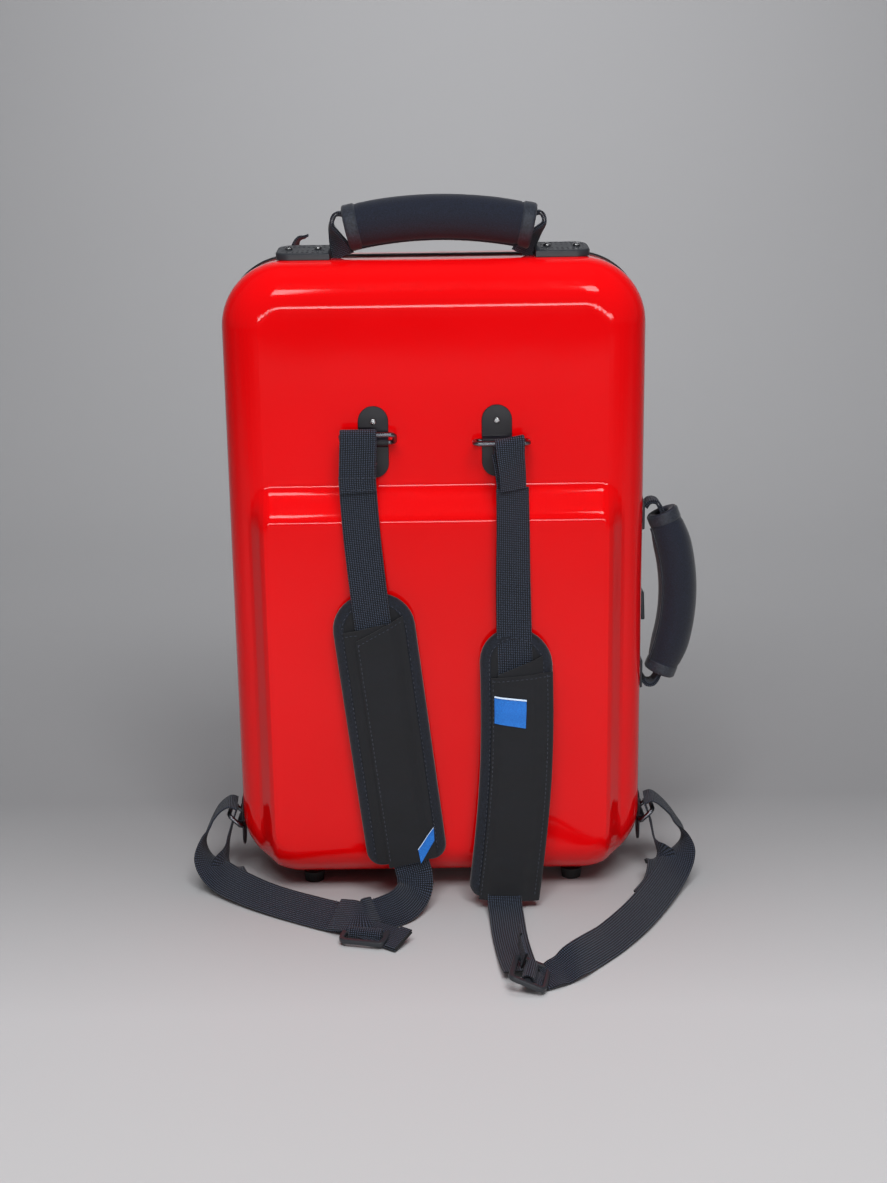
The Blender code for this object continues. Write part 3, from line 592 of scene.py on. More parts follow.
left_strap, left_line = strap(
    "shoulder_strap_left", [LEFT_ROUTE], 0.0315, ("strap_upper_left", "strap_lower_left")
)
right_strap, right_line = strap(
    "shoulder_strap_right", [RIGHT_ROUTE, RIGHT_RETURN], WEB,
    ("strap_upper_right", "strap_lower_right", "strap_return_right"),
)


def sewn_rows(name, lines):
    """Short rows of stitches across the webbing where two layers are sewn together."""
    return [
        dashes(f"{name}_{i}", [Vector(a).lerp(Vector(b), t / 12) for t in range(13)], CASE)
        for i, (a, b) in enumerate(lines)
    ]


def webbing_piece(name, stations, width=WEB):
    bm = bmesh.new()
    webbing_band(bm, stations, width)
    return linked(from_bmesh(name, bm), NYLON, CASE)


# The webbing goes through each side ring and comes back under the outer layer.
RETURN = [
    ((0.1870, -0.0400, 0.0630), (0, 1, 0)), ((0.1920, -0.0440, 0.0480), (0, 1, 0)),
    ((0.1950, -0.0560, 0.0330), (0, 1, 0.1)), ((0.1945, -0.0740, 0.0185), (-0.1, 1, 0.4)),
    ((0.1840, -0.0960, 0.0105), (-0.45, 0.75, 0.50)),
    ((0.1640, -0.1125, 0.0085), (-0.50, 0.75, 0.50)),
]
left_return = webbing_piece(
    "strap_return_layer_left", [((-x, y, z), (-a, b, c)) for (x, y, z), (a, b, c) in RETURN]
)
right_return = webbing_piece(
    "strap_return_layer_right",
    RETURN[:3] + [
        ((0.1985, -0.0790, 0.0185), (-0.3, 0.85, 0.45)),
        ((0.1925, -0.1130, 0.0115), (-0.6, 0.6, 0.5)),
        ((0.1790, -0.1420, 0.0100), (-0.6, 0.6, 0.5)),
    ],
)
# A second layer, sewn on, keeps the left adjuster in place.
left_keeper = webbing_piece(
    "strap_keeper_left",
    [
        ((-0.0920, -0.1640, 0.0118), (-0.15, -0.85, -0.47)),
        ((-0.0850, -0.1685, 0.0135), (-0.10, -0.88, -0.45)),
        ((-0.0740, -0.1750, 0.0155), (-0.05, -0.90, -0.40)),
        ((-0.0640, -0.1745, 0.0155), (0, -0.90, -0.42)),
        ((-0.0550, -0.1650, 0.0128), (0.05, -0.85, -0.52)),
    ],
    0.0325,
)
keeper_rows = sewn_rows(
    "strap_keeper_stitching",
    [
        ((-0.0905, -0.1530, 0.0200), (-0.0925, -0.1800, 0.0055)),
        ((-0.0585, -0.1540, 0.0225), (-0.0590, -0.1810, 0.0060)),
    ],
)


def ring_loop(name, stations, replaces, width, extra=()):
    """The end of the webbing folded over the ring's far bar and sewn back on itself.
    """
    bm = bmesh.new()
    webbing_band(bm, stations, width, steps=6)
    for more, narrow in extra:
        webbing_band(bm, more, narrow)
    blended(name, bm, NYLON, replaces)


ring_loop(
    "ring_loop_left",
    [
        ((-0.0650, -0.1040, 0.3800), X), ((-0.0645, -0.1028, 0.3950), X),
        ((-0.0640, -0.1026, 0.4100), X), ((-0.0640, -0.1030, 0.4178), X),
        ((-0.0640, -0.1063, 0.4208), X), ((-0.0640, -0.1097, 0.4175), X),
        ((-0.0642, -0.1106, 0.4090), X), ((-0.0650, -0.1104, 0.3950), X),
        ((-0.0656, -0.1102, 0.3800), X), ((-0.0650, -0.1112, 0.3690), X),
    ],
    ("loop_left",), 0.0305,
)
ring_loop(
    "ring_loop_right",
    [
        ((0.0635, -0.1040, 0.3700), (1, 0.40, 0)), ((0.0625, -0.1040, 0.3850), (1, 0.30, 0)),
        ((0.0610, -0.1046, 0.4010), (1, 0.15, 0)), ((0.0612, -0.1055, 0.4100), (1, 0.10, 0.10)),
        ((0.0618, -0.1087, 0.4128), (1, 0.10, 0.18)),
        ((0.0622, -0.1122, 0.4090), (1, 0.15, 0.12)), ((0.0626, -0.1132, 0.3990), (1, 0.30, 0)),
        ((0.0640, -0.1125, 0.3850), (1, 0.45, 0)), ((0.0648, -0.1118, 0.3700), (1, 0.50, 0)),
    ],
    ("loop_right",), 0.0250,
    [
        (
            [
                ((0.0530, -0.1060, 0.4000), (1, 0.30, 0.10)),
                ((0.0550, -0.1075, 0.3880), (1, 0.45, 0.05)),
                ((0.0565, -0.1085, 0.3740), (1, 0.55, 0)),
                ((0.0570, -0.1100, 0.3610), (1, 0.60, 0)),
            ],
            0.0135,
        )
    ],
)
loop_rows = sewn_rows(
    "ring_loop_stitching",
    [
        ((-0.0795, -0.1124, 0.3715), (-0.0510, -0.1124, 0.3715)),
        ((-0.0800, -0.1116, 0.3815), (-0.0515, -0.1116, 0.3815)),
        ((0.0560, -0.1160, 0.3735), (0.0740, -0.1078, 0.3735)),
    ],
)


# ---- pads
def skin(bm, rows, flat, closed=False):
    """Faces between rows of points; flat holds each point's place on the cloth in metres."""
    uv = bm.loops.layers.uv.get("mm") or bm.loops.layers.uv.new("mm")
    made = [[bm.verts.new(p) for p in row] for row in rows]
    count = len(made[0])
    for i in range(len(made) - 1):
        for k in range(count if closed else count - 1):
            m = (k + 1) % count
            corners = ((i, k), (i, m), (i + 1, m), (i + 1, k))
            face = bm.faces.new([made[a][b] for a, b in corners])
            for loop, (a, b) in zip(face.loops, corners):
                loop[uv].uv = (flat[a][b][0] * 1000, flat[a][b][1] * 1000)
    if closed:
        bm.faces.new(made[0][::-1])
        bm.faces.new(made[-1])
    return bm


class PadShape:
    """A pad's own frame: u across it, v up it, w out of it, bent by a sway and a lean."""

    def __init__(self, top, bottom, half, sway, lean):
        top, bottom = Vector(top), Vector(bottom)
        along = (top - bottom).normalized()
        out = Vector((0, -1, 0))
        out = (out - out.project(along)).normalized()
        side = out.cross(along) * -1
        side = side if side.x > 0 else -side
        turn = Matrix((side, along, out)).transposed().to_4x4()
        self.matrix = Matrix.Translation((top + bottom) / 2) @ turn
        self.length, self.half = (top - bottom).length, half
        self.sway, self.lean = sway, lean

    def place(self, u, v, w):
        bend = math.cos(math.pi * min(1, max(-1, v / self.length)))
        return self.matrix @ Vector((u + self.sway * bend, v, w + self.lean * bend))

    def half_at(self, v):
        """Half the pad's width, less near its round top and its tighter round foot."""
        top, foot = self.length / 2 - v, v + self.length / 2
        half = self.half
        for gap, radius in ((top, 0.030), (foot, 0.013)):
            if gap < radius:
                half = min(half, self.half - radius + math.sqrt(radius**2 - (radius - gap) ** 2))
        return half

    def height(self, u):
        """How far the strip's front stands out, with the webbing's bulge under the sleeve."""
        edge = max(0.0, 1 - (abs(u) / self.half) ** 4) ** 0.25
        return 0.0045 * edge + 0.0026 * (1 - smoothstep(abs(u), 0.012, 0.023))

    def outline(self, inset=0.0):
        """Points and outward directions round the edge, in the pad's own u and v."""
        reach = self.length / 2
        vs = [-reach * math.cos(math.pi * i / 40) for i in range(41)]
        ring = [(self.half_at(v), v) for v in vs] + [(-self.half_at(v), v) for v in vs[::-1]]
        found = []
        for i, (u, v) in enumerate(ring):
            (a, b), (c, d) = ring[i - 1], ring[(i + 1) % len(ring)]
            way = Vector((d - b, a - c)).normalized()
            found.append((u - way.x * inset, v - way.y * inset, way))
        return found


def pad_body(name, shape, replaces):
    """The padded strip itself: crowned, thin at its bound edge, with soft puckers."""
    rows, flat = [], []
    for i in range(61):
        v = -shape.length / 2 * math.cos(math.pi * i / 60)
        gap = min(shape.length / 2 - abs(v), 0.007) / 0.007
        thick = 0.0045 * max(0.12, math.sqrt(1 - (1 - gap) ** 2))
        half = shape.half_at(v)
        row, spots = [], []
        for k in range(48):
            a = 2 * math.pi * k / 48
            u = half * math.copysign(abs(math.cos(a)) ** 0.5, math.cos(a))
            w = thick * math.copysign(abs(math.sin(a)) ** 0.5, math.sin(a))
            pucker = 0.0003 * math.sin(v * 900) * abs(math.cos(a)) ** 6
            row.append(shape.place(u, v, w + pucker))
            spots.append((u, v))
        rows.append(row)
        flat.append(spots)
    obj = from_bmesh(name, skin(bmesh.new(), rows, flat, True), 60)
    linked(obj, TWILL, CASE, (replaces,))
    return obj


def pad_binding(name, shape):
    """Wide tape folded over the strip's edge all the way round."""
    ring = shape.outline()
    points = [shape.place(u, v, 0) for u, v, _ in ring]
    turn = shape.matrix.to_3x3()
    sides = [turn @ Vector((way.x, way.y, 0)) for _, _, way in ring]
    outer = [(-0.0085, 0.0049), (-0.0045, 0.0046), (-0.0018, 0.0038), (0, 0.0024), (0.0007, 0)]
    inner = [(-0.0020, 0), (-0.0030, 0.0024), (-0.0085, 0.0032)]
    section = outer + [(a, -b) for a, b in outer[-2::-1]]
    section += [(a, -b) for a, b in inner[::-1]] + inner[1:]
    bm = bmesh.new()
    sweep(bm, points, sides, section, closed=True)
    return linked(from_bmesh(name, bm, 50), TAPE, CASE)


def cloth_layer(name, shape, corners, lift, surface=None, thick=0.0009, across=28, along=70):
    """One layer of sleeve cloth laid over the strip between four (u, v) corners.

    The corners go bottom left, bottom right, top right, top left. Its hems are rolled.
    """
    low_left, low_right, top_right, top_left = (Vector(c) for c in corners)
    rows, flat = [], []
    for i in range(along + 1):
        t = i / along
        row, spots = [], []
        for k in range(across + 1):
            s = k / across
            spot = low_left.lerp(low_right, s).lerp(top_left.lerp(top_right, s), t)
            hem = min((1 - t) * (top_left - low_left).length, 0.006)
            edge = min(s, 1 - s) * (low_right - low_left).length
            roll = 0.0005 * math.exp(-(((hem - 0.0012) / 0.0011) ** 2))
            roll += 0.0003 * math.exp(-(((edge - 0.0010) / 0.0010) ** 2))
            crease = 0.00025 * math.sin(spot.y * 160 + spot.x * 90)
            crease += 0.0002 * math.sin(spot.y * 410)
            rise = shape.height(spot.x) + lift + roll + crease
            row.append(shape.place(spot.x, spot.y, rise))
            spots.append((spot.x, spot.y))
        rows.append(row)
        flat.append(spots)
    obj = from_bmesh(name, skin(bmesh.new(), rows, flat), 60)
    turn = shape.matrix.to_3x3() @ Vector((0, 0, 1))
    if obj.data.polygons[len(obj.data.polygons) // 2].normal.dot(turn) < 0:
        obj.data.flip_normals()
    modifier(obj, "SOLIDIFY", thickness=thick, offset=1.0)
    obj = baked(obj, 50)
    return linked(obj, surface or TWILL, CASE)


def stitch_line(name, shape, start, end, lift):
    (a, b), (c, d) = start, end
    points = []
    for i in range(61):
        u, v = a + (c - a) * i / 60, b + (d - b) * i / 60
        points.append(shape.place(u, v, shape.height(u) + lift))
    return dashes(name, points, CASE, 0.0024, 0.0016, 0.00035)


def label(name, shape, corners, lift):
    """A plain woven label, with a pale selvedge at its two cut ends."""
    low_left, low_right, top_right, top_left = (Vector(c) for c in corners)
    body = cloth_layer(name, shape, corners, lift, LABEL, 0.0005, 10, 10)
    strip = [top_left.lerp(low_left, 0.05), top_right.lerp(low_right, 0.05), top_right, top_left]
    edge = cloth_layer(f"{name}_edge", shape, strip, lift + 0.0002, LABEL_EDGE, 0.0005, 8, 3)
    return [body, edge]


def binding_stitches(name, shape):
    """The rows on the binding; they stop short of the pad's foot."""
    foot = 0.010 - shape.length / 2
    points = [shape.place(u, v, 0.0052) for u, v, _ in shape.outline(0.0072) if v > foot]
    gaps = [(q - p).length > 0.03 for p, q in zip(points, points[1:])]
    start = gaps.index(True) if True in gaps else -1
    points = points[start + 1 :] + points[: start + 1]
    return dashes(name, points, CASE, 0.0024, 0.0018, 0.00035)


left_shape = PadShape((-0.0578, -0.1108, 0.2808), (-0.0290, -0.1130, 0.0385), 0.0345, 0, 0.0010)
right_shape = PadShape(
    (0.0658, -0.1112, 0.2492), (0.0545, -0.1250, 0.0085), 0.0305, 0.0058, 0.0015,
)
# How far each layer on a pad stands off the strip.
SLEEVE_LIFT, OVER_LIFT, SEAM_LIFT, LABEL_LIFT = 0.0012, 0.0026, 0.0039, 0.0041


def dressed(side, shape, sleeves, seams, label_corners):
    """What is sewn to a pad: its binding, two sleeve layers, seams and label."""
    bits = [
        pad_binding(f"pad_binding_{side}", shape),
        binding_stitches(f"pad_binding_stitching_{side}", shape),
    ]
    for word, corners, lift, across in sleeves:
        bits.append(cloth_layer(f"pad_sleeve_{word}_{side}", shape, corners, lift, across=across))
    for word, start, end, lift in seams:
        bits.append(stitch_line(f"pad_{word}_{side}", shape, start, end, lift))
    return bits + label(f"pad_label_{side}", shape, label_corners, LABEL_LIFT)


left_pad = pad_body("shoulder_pad_left", left_shape, "pad_left")
head = left_shape.length / 2
foot = -head
under = [
    (-0.0262, foot + 0.004), (0.010, foot + 0.002), (0.010, head - 0.0250),
    (-0.0262, head - 0.0290),
]
outer = [
    (-0.0165, foot - 0.001), (0.0262, foot + 0.004), (0.0262, head - 0.0200),
    (-0.0165, head - 0.0370),
]
left_bits = dressed(
    "left", left_shape, (("under", under, SLEEVE_LIFT, 28), ("outer", outer, OVER_LIFT, 28)),
    (
        ("seam", (-0.0148, foot + 0.006), (-0.0148, head - 0.0400), SEAM_LIFT),
        ("hem", (-0.0150, head - 0.0405), (0.0245, head - 0.0245), SEAM_LIFT),
        ("under_hem", (-0.0250, head - 0.0325), (-0.0170, head - 0.0320), 0.0024),
    ),
    [
        (0.0115, foot + 0.0010), (0.0258, foot + 0.0195), (0.0268, foot + 0.0320),
        (0.0108, foot + 0.0144),
    ],
)
right_pad = pad_body("shoulder_pad_right", right_shape, "pad_right")
head = right_shape.length / 2
foot = -head
under = [
    (-0.0160, foot + 0.010), (0.0225, foot + 0.010), (0.0225, head - 0.0215),
    (-0.0160, head - 0.0390),
]
outer = [(-0.0218, foot), (0.0304, foot), (0.0304, head - 0.0350), (-0.0218, head - 0.0420)]
right_bits = dressed(
    "right", right_shape, (("under", under, SLEEVE_LIFT, 28), ("outer", outer, OVER_LIFT, 40)),
    (
        ("seam", (0.0262, foot + 0.006), (0.0262, head - 0.0380), SEAM_LIFT),
        ("hem", (-0.0205, head - 0.0450), (0.0285, head - 0.0385), SEAM_LIFT),
        ("edge", (-0.0205, foot + 0.004), (-0.0205, head - 0.0450), SEAM_LIFT),
    ),
    [
        (-0.0195, head - 0.0810), (0.0070, head - 0.0840), (0.0078, head - 0.0590),
        (-0.0195, head - 0.0570),
    ],
)


# ---- adjusters
def slider(name, middle, heading, pitch, replaces):
    """A moulded adjuster with webbing round its centre bar."""
    bm = bevelled(block((-0.0205, -0.016, -0.0021), (0.0205, 0.016, 0.0021)), runs(2), 0.0065, 6)
    obj = from_bmesh(name, bm)
    cutters = []
    for low, high in ((-0.0118, -0.0026), (0.0026, 0.0118)):
        cut = bevelled(block((-0.0160, low, -0.01), (0.0160, high, 0.01)), runs(2), 0.0022, 4)
        cutters.append(from_bmesh("slot", cut))
    obj = cut_out(obj, cutters, 0.0009)
    matrix = (
        Matrix.Translation(middle)
        @ Matrix.Rotation(heading, 4, "Z")
        @ Matrix.Rotation(pitch, 4, "X")
    )
    obj.data.transform(matrix)
    frame_piece = linked(obj, PLASTIC, CASE, (replaces,))
    bm = bmesh.new()
    turn = [
        matrix @ Vector((0, 0.0048 * math.cos(a), 0.0046 * math.sin(a)))
        for a in (math.radians(20 * i) for i in range(18))
    ]
    across = [(matrix.to_3x3() @ Vector((1, 0, 0))).normalized()] * len(turn)
    sweep(bm, turn, across, flat_section(0.029, 0.0016), closed=True)
    wrap = linked(from_bmesh(f"{name}_webbing", bm), NYLON, CASE)
    return [frame_piece, wrap]


slider_left = slider(
    "strap_adjuster_left", (-0.0640, -0.1905, 0.0062), math.radians(-14), math.radians(5),
    "slider_left",
)
slider_right = slider(
    "strap_adjuster_right", (0.0700, -0.2725, 0.0098), math.radians(80), math.radians(20),
    "slider_right",
)


def tail(name, stations, width=WEB):
    """A free end of webbing, folded twice and sewn so that it can't slip through."""
    bm = bmesh.new()
    webbing_band(bm, stations, width)
    end = [Vector(stations[-1][0]), Vector(stations[-2][0])]
    back = (end[1] - end[0]).normalized() * 0.011
    hem = [((end[0] + back * k) + Vector((0, 0, 0.0021)), stations[-1][1]) for k in (0, 0.5, 1)]
    webbing_band(bm, [(tuple(p), s) for p, s in hem], width, steps=3)
    return linked(from_bmesh(name, bm), NYLON, CASE)


tail_left = tail(
    "strap_tail_left",
    [
        ((-0.0640, -0.1850, 0.0080), (0.5, 0.8, 0.2)),
        ((-0.0560, -0.1900, 0.0075), (0.5, 0.8, 0.25)),
        ((-0.0450, -0.1960, 0.0060), (0.5, 0.8, 0.30)),
        ((-0.0320, -0.2050, 0.0055), (0.5, 0.8, 0.30)),
    ],
    0.026,
)
tail_right = tail(
    "strap_tail_right",
    [
        ((0.0660, -0.2620, 0.0150), (0.25, -0.60, 0.75)),
        ((0.0650, -0.2520, 0.0185), (0.15, -0.55, 0.80)),
        ((0.0640, -0.2420, 0.0215), (0.08, -0.50, 0.85)),
        ((0.0635, -0.2330, 0.0235), (0.05, -0.45, 0.90)),
    ],
    0.018,
)


def route_length(points):
    return sum((b - a).length for a, b in zip(points, points[1:]))


left_all = [left_pad, *left_bits, left_return, left_keeper, *keeper_rows]
left_all += [*loop_rows[:2], *slider_left, tail_left]


# ---- shells
def outline(inset):
    """The case's outline in the XZ plane, that far inside the outer wall."""
    half, low, high, radius = HALF - inset, BOTTOM + inset, TOP - inset, CORNER_R - inset
    points = []
    for x, z, start in (
        (half - radius, high - radius, 0), (-half + radius, high - radius, 90),
        (-half + radius, low + radius, 180), (half - radius, low + radius, 270),
    ):
        for i in range(25):
            a = math.radians(start + 90 * i / 24)
            points.append((x + radius * math.cos(a), z + radius * math.sin(a)))
    return points


def panel_height(x, z):
    """How far the raised panel stands out, from 0 to 1, with a rounded step round it."""
    soft = 1.6
    across = (abs(x) - 0.1535) / 0.0085 + soft
    upward = (z - 0.3560) / 0.0150 + soft
    far = math.hypot(max(across, 0), max(upward, 0)) + min(max(across, upward), 0) - soft
    return 1 - smoothstep(far, -1, 1)


def shell(name, depth, side, panel, body):
    """A moulded half: an open tray with a generous round edge, as thick as its laminate."""
    y_open, y_face = side * 0.0078, side * depth
    low, high = sorted((y_open, y_face))
    bm = block((-HALF, low, BOTTOM), (HALF, high, TOP))
    bevelled(bm, runs(1), CORNER_R, 20)
    bevelled(bm, lambda e: all(abs(v.co.y - y_face) < 1e-5 for v in e.verts), EDGE_R, 14)
    flat = [f for f in bm.faces if all(abs(v.co.y - y_open) < 1e-5 for v in f.verts)]
    bmesh.ops.delete(bm, geom=flat, context="FACES_ONLY")
    fine = [0.128 + 0.003 * i for i in range(15)]
    xs = [s * v for v in fine for s in (-1, 1)] + [0.02 * i for i in range(-6, 7)]
    zs = [0.3 + 0.003 * i for i in range(27)] + [0.03 * i for i in range(1, 10)]
    zs += [0.39 + 0.02 * i for i in range(7)]
    cuts = [((x, 0, 0), (1, 0, 0)) for x in xs] + [((0, 0, z), (0, 0, 1)) for z in zs]
    for point, normal in cuts if panel else []:
        bmesh.ops.bisect_plane(
            bm, geom=bm.verts[:] + bm.edges[:] + bm.faces[:], plane_co=point, plane_no=normal
        )
    if panel:
        for v in bm.verts:
            share = min(1.0, max(0.0, (-v.co.y - (depth - EDGE_R)) / EDGE_R))
            v.co.y -= PANEL_OUT * share * panel_height(v.co.x, v.co.z)
    obj = from_bmesh(f"{name}_gelcoat", bm, 60)
    modifier(
        obj, "SOLIDIFY", thickness=WALL, offset=-1.0, use_even_offset=False, material_offset=1,
        material_offset_rim=1,
    )
    obj.data.materials.append(RED)
    obj.data.materials.append(INSIDE)
    obj = baked(obj, 60)
    obj.data.materials.clear()
    modifier(obj, "WEIGHTED_NORMAL", keep_sharp=True, weight=60)
    return linked(obj, (RED, INSIDE), body, (name,))


shell("rear_shell", REAR, -1, True, CASE)
shell("lid_shell", LID, 1, False, "lid")


def edging(name, profile, surface, body, replaces):
    """A strip of constant section carried round the case's outline."""
    bm = bmesh.new()
    rings = [outline(inset) for inset, _ in profile]
    count = len(rings[0])
    made = [[bm.verts.new((x, y, z)) for x, z in ring] for ring, (_, y) in zip(rings, profile)]
    for k in range(len(profile)):
        m = (k + 1) % len(profile)
        for i in range(count):
            j = (i + 1) % count
            bm.faces.new((made[k][i], made[k][j], made[m][j], made[m][i]))
    return linked(from_bmesh(name, bm, 50), surface, body, replaces)


RIM = [
    (0.0060, 0.0014), (0.0000, 0.0013), (-0.0009, 0.0017), (-0.0015, 0.0027), (-0.0015, 0.0040),
    (-0.0010, 0.0046), (-0.0014, 0.0052), (-0.0014, 0.0064), (-0.0009, 0.0072), (-0.0002, 0.0076),
    (0.0060, 0.0076),
]
for body, side, name in ((CASE, -1, "rear_rim"), ("lid", 1, "lid_rim")):
    edging(
        f"{name}_edging", [(inset, side * y) for inset, y in RIM], TRIM, body,
        (name,),
    )
edging(
    "seal_strip",
    [(0.0052, -0.0009), (0.0012, -0.0009), (0.0005, 0.0), (0.0012, 0.0009), (0.0052, 0.0009)],
    SEAL, CASE, ("seal",),
)


# ---- handles
def arch(start, middle, end):
    """Points on a bow from end to end through the middle one."""
    a, m, b = Vector(start), Vector(middle), Vector(end)
    control = 2 * m - (a + b) / 2
    shares = [i / 40 for i in range(41)]
    return [a * (1 - t) ** 2 + control * 2 * t * (1 - t) + b * t**2 for t in shares]


def tube_ring(points, at, radius):
    """A circle of points round a route, that far along it."""
    gone = 0.0
    for a, b in zip(points, points[1:]):
        step = (b - a).length
        if gone + step >= at:
            break
        gone += step
    other = (b - a).normalized().cross(Vector((0, 1, 0))).normalized()
    middle = a.lerp(b, (at - gone) / step)
    turns = [math.radians(6 * i) for i in range(61)]
    return [
        middle + Vector((0, 1, 0)) * radius * math.cos(t) + other * radius * math.sin(t)
        for t in turns
    ]


def grip(name, line, radius, pinch, body, replaces, seam_angle):
    """A neoprene sleeve: a thick open tube with a sewn collar at each end."""
    dense = smoothed(line, 3)
    total = route_length(dense)
    travelled, scales = 0.0, []
    for i, point in enumerate(dense):
        if i:
            travelled += (point - dense[i - 1]).length
        near = min(travelled, total - travelled)
        groove = 0.030 * math.exp(-(((near - 0.0125) / 0.0009) ** 2))
        mouth = 0.05 * math.exp(-((near / 0.0022) ** 2))
        swell = pinch + (1 - pinch) * smoothstep(near, -0.006, 0.035)
        scales.append((swell - groove - mouth,) * 2)
    side = [Vector((0, 1, 0))] * len(dense)
    bm = bmesh.new()
    sweep(bm, dense, side, round_section(radius, radius, 48), scales, caps=False)
    obj = from_bmesh(name, bm, 60)
    modifier(obj, "SOLIDIFY", thickness=radius * 0.36, offset=-1.0)
    modifier(obj, "BEVEL", width=0.0018, segments=3, limit_method="ANGLE", angle_limit=1.2)
    obj = linked(baked(obj, 60), NEOPRENE, body, (replaces,))
    for word, start, stop in (("a", 0.0010, 0.0115), ("b", total - 0.0115, total - 0.0010)):
        collar, middle_at = bmesh.new(), (start + stop) / 2
        near_end = smoothstep(min(middle_at, total - middle_at), -0.006, 0.035)
        r = radius * (pinch + (1 - pinch) * near_end)
        ats = [start + (stop - start) * i / 8 for i in range(9)]
        rolled = [-0.0008, *[0.0004] * 7, -0.0008]
        rings = [tube_ring(dense, at, r * 1.012 + more)[:-1] for at, more in zip(ats, rolled)]
        flat = [[(k * r * math.pi / 30, at) for k in range(60)] for at in ats]
        skin(collar, rings, flat, True)
        caps = [f for f in collar.faces if len(f.verts) > 4]
        bmesh.ops.delete(collar, geom=caps, context="FACES_ONLY")
        made = from_bmesh(f"{name}_collar_{word}", collar, 60)
        modifier(made, "SOLIDIFY", thickness=0.0008, offset=0.0)
        linked(baked(made, 60), COLLAR, body)
        circle = tube_ring(dense, middle_at, r * 1.012 + 0.0005)
        dashes(f"{name}_stitching_{word}", circle, body, 0.0022, 0.0022, 0.0004)
    # The sleeve closes along one raised lap.
    bm = bmesh.new()
    tilt, seam = math.radians(seam_angle), []
    for i, point in enumerate(dense[8:-8]):
        other = (dense[i + 9] - dense[i + 7]).normalized().cross(Vector((0, -1, 0))).normalized()
        seam.append(
            point + (Vector((0, -1, 0)) * math.cos(tilt) + other * math.sin(tilt)) * radius
        )
    sweep(bm, seam, [Vector((0, 1, 0))] * len(seam), round_section(0.0020, 0.0009, 10))
    linked(from_bmesh(f"{name}_lap", bm), NEOPRENE, body)
    return obj


top_line = arch(
    (-0.0740, HANDLE_Y, 0.5815), (0.0050, HANDLE_Y, 0.5905), (0.0860, HANDLE_Y, 0.5815),
)
side_line = arch(
    (0.1990, HANDLE_Y, 0.1840), (0.2150, HANDLE_Y, 0.259), (0.1990, HANDLE_Y, 0.3340),
)
grip("top_grip_sleeve", top_line, 0.0190, 0.97, "top_handle", "top_grip", 75)
grip("side_grip_sleeve", side_line, 0.0170, 0.74, "side_handle", "side_grip", -60)


def handle_webbing(name, first, line, last, width, replaces):
    """The handle's webbing: it twists up from each end plate and runs through the grip."""
    middle = [(tuple(p), (0, -1, 0)) for p in line[5:-5:5]]
    stations = [*first, *middle, *last[::-1]]
    bm = bmesh.new()
    points = smoothed([s[0] for s in stations], 6)
    sides = smoothed([s[1] for s in stations], 6)
    for lift in (-0.0011, 0.0011):
        section = [(a, b + lift) for a, b in flat_section(width, WEB_THICK)]
        sweep(bm, points, sides, section)
    blended(name, bm, NYLON, (replaces,))


handle_webbing(
    "top_handle_core",
    [
        ((-0.0762, -0.0310, 0.5584), (0.85, -0.50, 0)),
        ((-0.0790, -0.0305, 0.5660), (0.75, -0.62, 0.05)),
        ((-0.0830, -0.0300, 0.5760), (0.45, -0.88, 0)),
        ((-0.0855, -0.0300, 0.5855), (0.1, -1, 0)), ((-0.0820, -0.0300, 0.5935), (0, -1, 0)),
        ((-0.0730, -0.0300, 0.5930), (0, -1, 0)),
    ],
    top_line,
    [
        ((0.0762, -0.0310, 0.5584), (-0.85, -0.50, 0)),
        ((0.0800, -0.0305, 0.5660), (-0.75, -0.62, 0.05)),
        ((0.0880, -0.0300, 0.5760), (-0.45, -0.88, 0)),
        ((0.0950, -0.0300, 0.5850), (-0.1, -1, 0)), ((0.0925, -0.0300, 0.5925), (0, -1, 0)),
        ((0.0850, -0.0300, 0.5920), (0, -1, 0)),
    ],
    0.0225, "top_handle_webbing",
)
handle_webbing(
    "side_handle_core",
    [
        ((0.1842, HANDLE_Y, 0.1800), (0, -1, 0)), ((0.1880, HANDLE_Y, 0.1752), (0, -1, 0)),
        ((0.1945, HANDLE_Y, 0.1760), (0, -1, 0)), ((0.1995, HANDLE_Y, 0.1850), (0, -1, 0)),
    ],
    side_line,
    [
        ((0.1842, HANDLE_Y, 0.3380), (0, -1, 0)), ((0.1880, HANDLE_Y, 0.3428), (0, -1, 0)),
        ((0.1945, HANDLE_Y, 0.3420), (0, -1, 0)), ((0.1995, HANDLE_Y, 0.3330), (0, -1, 0)),
    ],
    0.0200, "side_handle_webbing",
)


